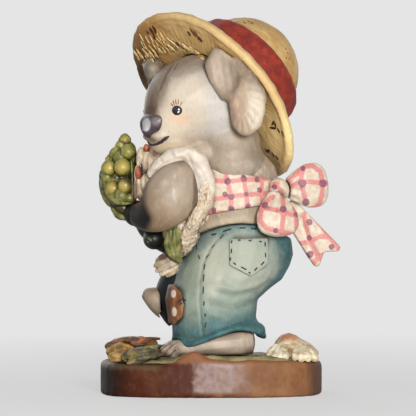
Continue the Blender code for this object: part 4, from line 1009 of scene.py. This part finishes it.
stitches = {
    "waist": [[210.8, 235.2, 216.7, 233.6], [222.5, 231.6, 231.7, 228.8], [239.2, 228, 246.2, 228],
        [250.8, 228.6, 256.7, 229.2]],
    "fly": [[196.2, 241.3, 196.7, 250], [198.3, 255, 199.7, 259.2]],
    "seam": [
        [223.7, 234.6, 220, 239.2], [215, 244.2, 211.7, 248.3], [209.2, 254.2, 205.8, 258.3], [205, 264, 204, 270],
        [204, 274, 203.2, 282], [203.4, 286, 203, 294], [204, 301, 203.6, 306], [205, 313, 205.4, 317],
        [206, 322, 205, 328]],
    "pocket": [[232, 240, 231.3, 243.6], [231.7, 248.3, 231.2, 253.3], [230.4, 257.2, 230.4, 261],
        [233.3, 262.5, 236.2, 265], [240.8, 266.7, 246.7, 270], [248.3, 272, 250.8, 273.6],
        [254.2, 270.8, 257.5, 267.5], [260.8, 265.4, 264.4, 261.7], [265.8, 257.5, 265.3, 252.5],
        [265.3, 246.7, 265.1, 241.9], [237.5, 240.2, 241, 240.2], [248.3, 240.5, 251.7, 240.8],
        [259, 241.4, 262, 241.6]],
    "patch": [[177.2, 303.4, 180, 301, 183.4, 298], [182.4, 297, 184.6, 304], [179, 299.5, 186.6, 300.5],
        [178.6, 304.6, 183, 302.6]],
}
stitchPaint = plainPaint("stitchNavy", jeans["stitch"], 0.5)
for name, tree, groups, side in (
        ("nearStitches", surfaceOf(trousers, nearPocket, kneePatch), stitches, -1),
        ("farStitches", surfaceOf(trousers, farPocket), ("waist", "seam", "pocket"), 1)):
    dashes = [dash for group in groups for dash in stitches[group]]
    finishPiece(brush(name, tree, dashes, 1.5, 0.1, side, 0.2), stitchPaint, "denim_paint")

gingham = {"cream": (226, 210, 190), "plum": (112, 56, 76), "half": 0.6, "middle": (5.3, 15.0, 13.6)}
# painted lines as rows of pixels, and dots with their radius
bodiceLines = [
    [198, 160, 208, 163, 221, 167.5], [190, 178, 213, 180.5, 227, 181.8, 244, 179.8, 258, 179.5, 273, 178, 292, 181],
    [186, 203, 211, 199.7, 223, 197.5, 232, 196, 248, 194.7, 265, 193, 292, 192],
    [180, 220, 195, 217, 208, 213.8, 232, 211.5, 245, 210.8, 257, 208.8, 292, 206],
    [207.5, 165, 211, 180, 211.7, 193, 209, 205, 206, 214, 195, 226],
    [221.7, 166, 227.5, 181.7, 231, 196.7, 231, 214], [243.3, 172, 244.2, 180, 246.2, 195, 246.7, 212],
    [258.3, 174, 263.3, 183.3, 261, 192, 262, 210], [276, 174, 278, 190, 277, 208], [190, 165, 192, 190, 190, 222]]
bodiceDots = [
    (204.7, 164.7, 2.6), (227, 181.3, 3.6), (244.2, 178.7, 3.4), (258.3, 179.7, 3.0), (260, 190, 2.9),
    (224.7, 194.2, 2.8), (231, 196.7, 3.0), (245.8, 194, 2.4), (213, 209.7, 2.9), (230.8, 208.8, 3.2),
    (247.5, 205.8, 2.6), (277, 180, 2.8), (192, 203, 2.8)]
bowLines = {
    "near": [[260.8, 206.7, 268.3, 208.3, 280, 210.8, 290, 214.2, 299, 213.6],
        [280, 189, 281.7, 200, 281.7, 216.7, 280, 232], [286.7, 195, 292.5, 201.7, 294.2, 215, 295.8, 233],
        [271.7, 196.7, 265, 201.7, 260, 208.3, 259.2, 220, 265, 227, 278.3, 230.4, 295, 234.4]],
    "far": [[285, 185, 291.7, 177.5, 298.3, 171.7, 301.7, 166.7, 311.7, 166.2, 319.2, 171.7, 321.7, 183.3, 320.8,
            193.3, 319.2, 201.7, 315, 207.5, 305, 209.6],
        [287.5, 187.5, 298.3, 182.5, 308.3, 181.7, 326, 183.3], [301.7, 166, 300, 181.7, 303.3, 197]],
    "knot": [[274, 184, 280, 190, 279, 197], [270, 186, 276, 184]],
    "tail": [[303.3, 214, 305, 225, 308.3, 236.7, 310, 243.3, 313.3, 248.3, 318.3, 258],
        [311.7, 214, 320, 225, 328.3, 236.7, 338, 249], [292, 236, 298.3, 248.3, 306.7, 258.3, 311.7, 266],
        [296, 243, 308.3, 241.7, 320, 235.8, 330, 237.5], [311.7, 264.5, 318.3, 254.3, 331.7, 255, 338, 253]],
}
bowDots = {
    "near": [(263.7, 204.7, 3.2), (281.7, 208.7, 3.4), (274.2, 229.4, 2.5), (295, 214, 2.6)],
    "far": [(302, 168.7, 2.5), (301.2, 183.3, 3.9), (321.7, 183.3, 3.8), (304.7, 202, 3.6)],
    "knot": [(273.6, 187, 2.6)],
    "tail": [(308.7, 221.7, 3.1), (308.3, 237.5, 2.8), (309.2, 253.7, 3.4), (330.5, 246.3, 2.8)],
}
bowFolds = {
    "near": [[275, 193, 267, 206], [279, 195, 276, 209], [283, 195, 286, 209], [286, 192, 295, 203]],
    "far": [[283, 188, 296, 180], [284, 191, 299, 189], [285, 195, 297, 200]],
    "tail": [[301, 216, 311, 236, 320, 254], [297, 226, 304, 246]],
    "knot": [[271, 185, 279, 190, 282, 196], [274, 196, 281, 191]],
}


def paintCheck(piece, lines, dots, unroll=False):
    # how far each point is from the nearest pink line and plum dot, kept on the piece for its paint
    points = getPoints(piece)
    middleX, halfLong, halfWide = gingham["middle"]

    def lay(x, y, z):   # unrolled round the body, as cloth
        turn = np.arctan2((x - middleX) / halfLong, np.maximum(np.abs(y), 0.01) / halfWide)
        return np.stack([halfLong * turn, z], axis=-1)

    def laid(px, py):
        x, z = fromPhoto(px, py)
        if not unroll:
            return x, z
        return lay(x, halfWide * math.sqrt(1 - min(0.995, abs(x - middleX) / halfLong) ** 2), z)

    flat = lay(*points.T) if unroll else points[:, [0, 2]]
    pink = [lineDistance(flat, [laid(*stop) for stop in np.reshape(line, (-1, 2))]) for line in lines]
    plum = [np.linalg.norm(flat - np.array(laid(px, py)), axis=1) - radius * photo["scale"] for px, py, radius in dots]
    keepOnPiece(piece, "pinkAway", np.min(pink, axis=0))
    keepOnPiece(piece, "plumAway", np.min(plum, axis=0))


def ginghamPaint():
    pot = Pot("ginghamPaint", 0.4, 0.6)
    cloud, streak = pot.noise(1.6, 3.0), pot.noise(0.35)
    wobble = (pot.noise(0.9, 3.0) - 0.5) * 0.5
    pot.coat(cloud, 0.35, 0.65, (208, 188, 164), gingham["cream"])
    line = pot.soft(pot.kept("pinkAway") + wobble, gingham["half"] + 0.22, gingham["half"] - 0.16)
    pink = pot.mix(pot.soft(streak, 0.3, 0.7), (206, 118, 114), (222, 150, 140))
    pot.over(line * (0.82 + streak * 0.25), pink)
    dot = pot.soft(pot.kept("plumAway") + wobble * 0.8, 0.12, -0.08)
    pot.over(dot * 0.88, pot.mix(pot.soft(streak, 0.35, 0.7), gingham["plum"], (156, 98, 118)))
    return pot.finish(0.38 + streak * 0.2, streak * 0.6 + cloud * 0.6 + line * 0.25 + dot * 0.3, 0.06)


print("gingham top and bow")
checkPaint = ginghamPaint()
bodice = carve("bodice", "ginghamTop", 0.42, 8)
points = getPoints(bodice)
points[:, 2] += 2.0 * smoothStep(54.0, 45.5, points[:, 2])   # the hem sits a little up on the waist
setPoints(bodice, points)
paintCheck(bodice, bodiceLines, bodiceDots, True)
finishPiece(bodice, checkPaint, "gingham_paint", "bodice")
for nodeName, pieceName, key in (("near_bow_loop", "bowNearLoop", "near"), ("far_bow_loop", "bowFarLoop", "far"),
                                 ("bow_knot", "bowKnot", "knot"), ("bow_tail", "bowTail", "tail"),
                                 ("far_bow_tail", "bowFarTail", "tail")):
    piece = carve(nodeName, pieceName, 0.32, 5)
    carveLines(piece, bowFolds[key], 0.45, 0.6)
    carveLines(piece, bowFolds[key], 0.4, 0.6, 1)
    paintCheck(piece, bowLines[key], bowDots[key])
    finishPiece(piece, checkPaint, "gingham_paint", nodeName)

frillCuff = [(182, 157, -12.6), (189, 161, -13.6), (195, 169, -14.4), (198.6, 180, -14.8), (200.4, 191, -14.8),
             (197, 201, -14.4)]
frillFolds = [[157, 172, 163, 166, 172, 161, 184, 159], [188, 154, 191, 165, 197, 176, 203, 188], [192, 190, 206, 194],
              [188, 202, 203, 206], [161, 160, 165, 168], [172, 153, 176, 161]]
furWay = [(203, 188), (203.5, 198), (200, 210), (194, 221), (188, 232), (183, 244), (180, 252)]
fluffWay = [(204, 188), (206, 200), (201, 212), (194, 224), (187, 238), (179, 252)]
frillPaint = handPainted("frillCream", (226, 215, 198), (210, 196, 178), (236, 227, 211), 2.4, 0.3)
frills = []
for nodeName, pieceName, side in (("near_frill", "nearFrill", -1), ("far_frill", "farFrill", 1)):
    frill = carve(nodeName, pieceName, 0.34, 5)
    pushOut(frill, 0.35)
    if side < 0:   # the cuff of the armhole wraps the back of the arm
        joinPieces(frill, [addRoll("cuff", [atDepth(*stop) for stop in frillCuff], 1.7)])
        remesh(frill, 0.34, 5)
    roughen(frill, 3.0, 1.0)
    carveLines(frill, frillFolds, 0.4, 0.5, side)
    finishPiece(frill, frillPaint, "cream_cloth_paint", nodeName)
    frills.append(frill)

bedTree = surfaceOf(torso, bellyFur, bodice, trousers, frills[0])
stops = []
for px, py in furWay:
    spot = spotOn(bedTree, px, py)[0]
    stops.append(atDepth(px, py, (spot.y / mm if spot else -10.0) - 0.1))
furStrip = addRoll("furStrip", stops, 1.7)
remesh(furStrip, 0.34, 3)
roughen(furStrip, 0.9, 0.5, "STUCCI")
finishPiece(furStrip, stipple, "cream_fur_paint")

fluff = {"dabs": 120, "aside": 3.0, "wider": 0.6, "along": 3, "long": (2.4, 4.2), "wide": (2.6, 4.4),
         "lean": (0.7, 1.5)}   # in pixels, the lean in radians
random = np.random.default_rng(7)
for name, frill, side in (("fluffNear", frills[0], -1), ("fluffFar", frills[1], 1)):
    dabs = []
    for i in range(fluff["dabs"]):
        t = random.uniform(0, len(fluffWay) - 1.001)
        x, y = alongWay(fluffWay, t)
        x += random.normal(0, 1) * (fluff["aside"] + fluff["wider"] * t)
        y += random.uniform(-fluff["along"], fluff["along"])
        turn, long = random.uniform(*fluff["lean"]), random.uniform(*fluff["long"])
        over, up = long * math.cos(turn), long * math.sin(turn)
        dabs.append(([x + over, y - up, x, y, x - over, y + up], random.uniform(*fluff["wide"])))
    bed = surfaceOf(frill, bellyFur, torso, bodice, trousers, furStrip)
    finishPiece(brush(name, bed, dabs, 3.4, 0.24, side, 0.5), stipple, "cream_fur_paint")

bunch = {"middle": (-23.4, 0.0, 55.6), "core": (4.2, 5.0, 8.4), "green": (146, 140, 66), "warm": (196, 168, 84)}
warmBuds = [(109.4, 168, 5), (122.8, 167, 6), (113, 188, 6), (124, 186, 6), (124.5, 141, 4)]
# photo x and y, half width and height in pixels, and how far in front of the middle, in millimetres
budPlaces = [
    (124.8, 140.8, 6.6, 6.8, 0.8), (116.0, 153.8, 6.8, 6.6, 2.6), (128.6, 152.4, 7.8, 7.6, 4.4),
    (109.6, 168.6, 8.4, 9.0, 3.2), (123.4, 167.6, 8.8, 8.8, 6.0), (132, 170, 5, 7, 4.4), (105.8, 184, 5.2, 8.4, 2.6),
    (114, 188.6, 8.2, 7.6, 5.4), (126, 186, 7.8, 8.6, 6.8), (119, 199, 8.4, 6.2, 5.0), (130, 198, 6.2, 7, 6.4),
    (103.4, 176, 4.4, 8, 0.6), (121, 146, 6, 6, 1.2), (117, 178, 6, 6, 3.6), (124, 208, 8, 7, 4.4),
    (121, 158, 8, 8, 3.4), (134, 160, 5, 8, 2.6), (111, 160, 6, 6, 1.6), (107.6, 177, 6, 7, 3.2),
    (131, 150, 5, 7, 2.0)]


def budPaint():
    pot = Pot("budPaint")
    cloud, fine = pot.noise(2.0, 3.0), pot.noise(0.6, 3.0)
    pot.coat(cloud, 0.34, 0.6, (112, 114, 52), bunch["green"])
    for px, py, wide in warmBuds:   # a warm, paler heart on the fullest buds: painted highlight
        half = wide * photo["scale"]
        pot.over(pot.blot(atDepth(px, py, -6.0), (half, 9.0, half), 0.7) * 0.75, bunch["warm"])
    pot.tint(fine * 0.5 + cloud * 0.5, 0.52, 0.66, (190, 182, 104), 0.45)
    # painted shade in the creases where one bud meets the next
    pot.tint(pot.kept("crease") + fine * 0.5, 0.75, 0.3, (58, 70, 32), 0.75)
    return pot.finish(0.28 + fine * 0.14, fine + cloud, 0.06)


def leafPaint(name, dark, green, pale):
    pot = Pot(name, 0.45)
    vein, cloud = pot.noise(0.8, 3.0, (1, 1, 3)), pot.noise(2.2)
    pot.coat(vein, 0.38, 0.62, dark, green)
    pot.tint(cloud, 0.45, 0.75, pale, 0.8)
    return pot.finish(0.34 + vein * 0.2, vein + cloud * 0.5, 0.06)


print("bouquet")
buds = addBall("budBunch", bunch["middle"], bunch["core"], None, 32, 20)
balls, eggs = [], []
owner = [-1] * len(buds.data.vertices)   # which bud each point belongs to
for px, py, wide, tall, front in budPlaces:
    for side in ((-1, 1) if front > 1 else (-1,)):
        centre = atDepth(px, py, side * front)
        radii = (wide * photo["scale"], wide * photo["scale"], tall * photo["scale"])
        ball = addBall("bud", centre, radii, None, 28, 18)
        points = getPoints(ball)
        points[:, 2] += 0.2 * smoothStep(0.8, 1.0, (points[:, 2] - centre[2]) / radii[2])
        setPoints(ball, points)
        owner += [len(balls)] * len(points)
        balls.append(ball)
        eggs.append((centre, radii))
joinPieces(buds, balls)
points = getPoints(buds)
crease = np.full(len(points), 9.0)   # how near each point is to the next bud
for k, (centre, radii) in enumerate(eggs):
    reach = np.abs(np.linalg.norm((points - centre) / radii, axis=1) - 1) * min(radii)
    crease = np.where(np.array(owner) == k, crease, np.minimum(crease, reach))
keepOnPiece(buds, "crease", crease)
finishPiece(buds, budPaint(), "bud_green_paint", "bud_cluster")

# cup edges as rolls: x and y in pixels and a depth for each stop, with the thickness
cupEdges = {
    "bud_leaf_left": [
        ([103, 168, -0.4, 102.4, 180, -0.8, 103.4, 191, -1.6, 107.5, 198.6, -2.8, 115, 204.4, -4.2, 124, 208,
            -5.0, 131, 209, -5.0], 1.1)],
    "bud_leaf_right": [
        ([104.5, 181, -4.4, 106, 190, -5.9, 110, 197, -7.1, 117, 202, -7.9, 125, 204, -8.3, 132.5, 203, -7.9], 0.6),
        ([131.5, 158, -6.6, 133, 170, -7.4, 133.2, 184, -7.8, 133, 198, -7.6], 0.55)],
    "bud_leaf_low": [([111, 204, -3.0, 114, 211, -4.6, 120, 216.4, -5.4, 127, 218.4, -5.6, 132, 218.4, -5.4], 0.8),
        ([113, 206, -1.4, 118, 214, -2.4, 128, 217, -2.8], 1.1)],
}
# the ball behind each cup: pixel, distance from the middle plane, half sizes in pixels, thickness
cupBeds = {
    "bud_leaf_left": (118, 190, 0, 17.2, 20, 6.4),
    "bud_leaf_right": (121, 196, -3.4, 13, 12.4, 5.0),
    "bud_leaf_low": (123, 208, 0, 11.4, 12.6, 5.0),
}
leafGreen = leafPaint("leafGreen", (84, 88, 42), (124, 122, 64), (156, 146, 82))
for nodeName, rolls in cupEdges.items():
    px, py, y, wide, tall, deep = cupBeds[nodeName]
    beds = [photoBall("cupBed", px, py, wide, tall, side * y, deep) for side in ((-1, 1) if y else (1,))]
    bands = []
    for side in (1, -1):
        bands += [addRoll("cupEdge", [atDepth(px, py, side * y) for px, py, y in np.reshape(way, (-1, 3))], thick)
                  for way, thick in rolls]
    leaf = joinPieces(bands[0], bands[1:] + beds)
    leaf.name = dotted(nodeName)
    remesh(leaf, 0.26, 3)
    roughen(leaf, 1.4, 0.3)
    finishPiece(leaf, leafGreen, "leaf_green_paint", nodeName)
leaf = carve("hanging_leaf", "hanging.leaf", 0.3, 6)
leafVeins = [[172, 227, 171.5, 238, 174, 252], [168.5, 232, 168.5, 246, 172, 256], [178, 228, 179, 240, 177, 252]]
carveLines(leaf, leafVeins, 0.4, 0.5)
finishPiece(leaf, leafGreen, "leaf_green_paint", "hanging_leaf")
seedPod = addBall("seedPod", atDepth(154.4, 238.6, -5.5), (2.9, 3.6, 2.8))
stems = joinPieces(copyNode("stem_bundle", "stemBundle"), [seedPod])
remesh(stems, 0.36, 4)
# dark stems, painted all but black as shade under the buds and the arm
finishPiece(stems, leafPaint("stemDark", (10, 11, 9), (20, 22, 15), (34, 40, 22)), "leaf_green_paint", "stem_bundle")
podLights = [([147, 236.6, 149, 238.6, 151.6, 241.4], 3.2), ([146.4, 241, 149, 243], 1.6)]
podShine = brush("podShine", surfaceOf(stems), podLights, 2.4, 0.1)
finishPiece(podShine, plainPaint("podGreen", (104, 112, 72), 0.3), "leaf_green_paint")

darkSpots = [   # pixel, half sizes in pixels, amount: what lies in the shade of the buds and the arm
    (157, 153, 6, 6, 0.9), (146, 166, 4, 9, 0.35), (164, 256.5, 6, 3.4, 0.75), (140, 200, 8, 5, 0.6),
    (136, 191, 3.4, 9, 0.7)]
# beds under the petals, and flower hearts: pixel, half sizes in pixels, depth
petalBeds = {"daisy_high": (148.5, 163, 7.5, 12.5, -6.4), "daisy_low": (142.5, 187, 7.0, 14.0, -7.4),
             "hanging_blossom": (166, 264, 11.0, 9.4, -6.0)}
centres = {"daisy_low_centre": (139.8, 172.8, 3.6, 6.8, -9.6), "daisy_high_centre": (147, 148.2, 2.8, 3.8, -9.4)}
flowers = {
    "daisy_high": [(142.6, 147, 138.8, 167, 7.4, -8.4, -9.2), (147.4, 151, 144.5, 174, 7.4, -9.0, -10.0),
        (151.5, 153, 150, 176, 7.4, -9.4, -10.6), (156, 155, 155.6, 173, 7.4, -9.4, -11.0),
        (151, 148.5, 162, 160, 8.4, -8.6, -10.2), (158, 156, 164, 169, 7.4, -9.0, -11.2)],
    "daisy_low": [(141, 175, 139, 198.5, 7.4, -9.2, -8.8), (146, 173.5, 146.4, 193.5, 10.0, -9.8, -10.2),
        (152, 169.5, 149, 186, 9.4, -10.2, -11.2), (137, 179, 136.2, 200, 5.4, -8.4, -8.4),
        (143.4, 188, 142.6, 204, 6.6, -9.0, -9.2), (139, 164, 136.6, 183, 6.4, -8.0, -8.2)],
    "hanging_blossom": [(172, 252.5, 155.6, 261, 8.0, -7.0, -6.6), (177, 255, 153.6, 266, 9.0, -8.0, -7.8),
        (179, 259.5, 155.4, 271, 9.0, -8.4, -8.2), (179, 264, 159.6, 274.6, 8.0, -7.8, -8.0),
        (179, 267, 166, 276, 6.4, -7.0, -7.2)],
}


def petalsPaint(name, washed):
    pot = Pot(name, 0.45, washed)
    cloud, vein = pot.noise(1.6, 3.0), pot.noise(0.5, 3.0, (1, 1, 4))
    pot.coat(cloud, 0.35, 0.66, (186, 164, 132), (214, 196, 168))
    pot.tint(vein, 0.44, 0.3, (132, 100, 76), 0.7)
    pot.tint(vein, 0.54, 0.7, (232, 220, 198), 0.5)
    for px, py, wide, tall, amount in darkSpots:
        radii = (wide * photo["scale"], 12.0, tall * photo["scale"])
        pot.over(pot.blot(atDepth(px, py, -6.0), radii, 0.6) * amount, (84, 34, 28))
    return pot.finish(0.36 + vein * 0.2, vein + cloud * 0.5, 0.1)


petalPaint, bellPaint = petalsPaint("petalCream", 0.9), petalsPaint("bellCream", 0.35)
for nodeName, petals in flowers.items():
    bloom = photoBall(dotted(nodeName), *petalBeds[nodeName], 2.2)
    joinPieces(bloom, [addPetal(*row, 1.2, 0.15, 0.22) for row in petals])
    remesh(bloom, 0.2, 1)
    finishPiece(bloom, bellPaint if nodeName == "hanging_blossom" else petalPaint, "petal_white_paint", nodeName)
centrePaint = handPainted("centreOrange", (216, 118, 76), (178, 84, 50), (230, 156, 112), 1.0)
for nodeName, bed in centres.items():
    centre = photoBall(dotted(nodeName), *bed, 1.1, 28, 18)
    roughen(centre, 0.8, 0.2)
    finishPiece(centre, centrePaint, "flower_orange_paint", nodeName)

pegPaint = handPainted("pegWood", (196, 160, 112), (160, 122, 78), (216, 184, 136), 1.5, stretch=(1, 1, 5))
for nodeName in ("foot_dowel", "neck_dowel", "hat_dowel"):
    nodes[nodeName].data.materials.clear()
    nodes[nodeName].data.materials.append(pegPaint)

studio = {"pale": (229, 229, 229), "distance": 0.75, "tilt": 0.5, "aim": (-0.00061, 0, 0.04895), "ambient": 0.24,
          "shadow": 0.35, "floor": 0.9, "sensor": 36}
lamps = {"key": ((0.13, -0.74, 0.17), 0.16, 5.4), "back": ((-0.3, 0.7, 0.35), 0.5, 1.5)}   # place, size and power


def studioFloor():
    bpy.ops.object.select_all(action="DESELECT")
    bpy.ops.mesh.primitive_circle_add(vertices=96, radius=studio["floor"], fill_type="TRIFAN", location=(0, 0, 0))
    floor = bpy.context.object
    floor.name = "studioFloor"
    material = bpy.data.materials.new("studioFloor")
    floor.data.materials.append(material)
    board = Board(material)
    shader = board.find("BSDF_PRINCIPLED")
    board.feed(shader, "Base Color", tone(*studio["pale"]))
    board.feed(shader, "Roughness", 0.9)
    away = board.vector("LENGTH", board.put("ShaderNodeTexCoord", out="Object"), out=1)
    fade = board.put("ShaderNodeMapRange", {}, {0: away, 1: 0.05, 2: 0.3, 3: studio["shadow"], 4: 0.0})
    unseen = 1.0 - board.put("ShaderNodeLightPath", out="Is Camera Ray")   # only the camera's rays meet the glow
    glow = board.put("ShaderNodeEmission", {}, {"Color": tone(*studio["pale"])})
    lit = Wire(board, shader.outputs[0])
    blend = board.put("ShaderNodeMixShader", {}, {0: fade.high(unseen), 1: glow, 2: lit})
    board.feed(board.find("OUTPUT_MATERIAL"), "Surface", blend)
    floor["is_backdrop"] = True


def studioWorld():
    world = bpy.data.worlds.new("studio")
    bpy.context.scene.world = world
    board = Board(world)
    camera, through, glossy = [board.put("ShaderNodeLightPath", out=ray)
                               for ray in ("Is Camera Ray", "Is Transmission Ray", "Is Glossy Ray")]
    seen = camera.high(through).high(glossy)   # these rays meet the pale backdrop at full strength
    background = board.find("BACKGROUND")
    board.feed(background, "Color", tone(*studio["pale"]))
    board.feed(background, "Strength", board.put("ShaderNodeMapRange", {}, {0: seen, 3: studio["ambient"], 4: 1.0}))


def placed(name, data, place, ahead, axis):   # a lamp or camera that looks along its own axis
    holder = newPiece(name, data)
    holder.location = place
    holder.rotation_euler = ahead.to_track_quat(axis, "Y").to_euler()
    return holder


print("studio")
studioFloor()
studioWorld()
aim = Vector(studio["aim"])
for name, (place, size, power) in lamps.items():
    light = bpy.data.lights.new(name, "AREA")
    light.size = size
    light.energy = power
    placed(name, light, place, aim - Vector(place), "-Z")
camera = bpy.data.cameras.new("camera")
camera.sensor_width = studio["sensor"]
camera.lens = studio["sensor"] * studio["distance"] / (photo["width"] * photo["scale"] * mm)
tilt = math.radians(studio["tilt"])
away = Vector((0, -math.cos(tilt), math.sin(tilt)))
bpy.context.scene.camera = placed("camera", camera, aim + away * studio["distance"], away, "Z")
bpy.context.scene.view_settings.view_transform = "Standard"

# painted shade in the hollows and grooves, read from how shut in each place is
print("wash in the hollows")
wash = {"rays": 14, "lowest": 0.25, "reach": 7.0, "grid": 1.1, "smooth": 10}
hollowTree = surfaceOf(*nodes.values())
shadeRays = []
for i in range(wash["rays"]):   # a fan of directions over a dome
    height = wash["lowest"] + 0.7 * (i + 0.5) / wash["rays"]
    flat, turn = math.sqrt(1 - height * height), i * 2.39996
    shadeRays.append(Vector((flat * math.cos(turn), flat * math.sin(turn), height)))


# the share of rays that meet a solid close by: how deep in shade a place lies
def shadeAt(point, normal):
    turn = normal.to_track_quat("Z", "Y")
    dark = 0
    for ray in shadeRays:
        far = hollowTree.ray_cast(point + normal * 0.5 * mm, turn @ ray, wash["reach"] * mm)[3]
        if far is not None:
            dark += 1 - 0.6 * far / (wash["reach"] * mm)
    return dark / len(shadeRays)


def paintShade(piece):   # reads how shut in each hollow is, on a coarse grid, and smooths it over the piece, for the painted shade
    points, normals = getPoints(piece), getNormals(piece)
    cells = np.floor(points / wash["grid"]).astype(int)
    keys, first, back = np.unique(cells, axis=0, return_index=True, return_inverse=True)
    dark = np.array([shadeAt(Vector(points[i] * mm), Vector(normals[i])) for i in first])[back.ravel()]
    pairs = np.empty(len(piece.data.edges) * 2, dtype=np.int64)
    piece.data.edges.foreach_get("vertices", pairs)
    a, b = pairs[0::2], pairs[1::2]
    count = np.bincount(pairs, minlength=len(points)) + 1

    def spread(values):
        return (values + np.bincount(a, values[b], len(points)) + np.bincount(b, values[a], len(points))) / count

    smooth = points.copy()
    for i in range(wash["smooth"]):
        dark = spread(dark)
        for k in range(3):
            smooth[:, k] = spread(smooth[:, k])
    keepOnPiece(piece, "wash", dark)
    keepOnPiece(piece, "groove", ((smooth - points) * normals).sum(axis=1))   # above zero in a groove


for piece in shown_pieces():
    if piece.type == "MESH" and piece.name not in nodes and len(piece.data.polygons):
        paintShade(piece)
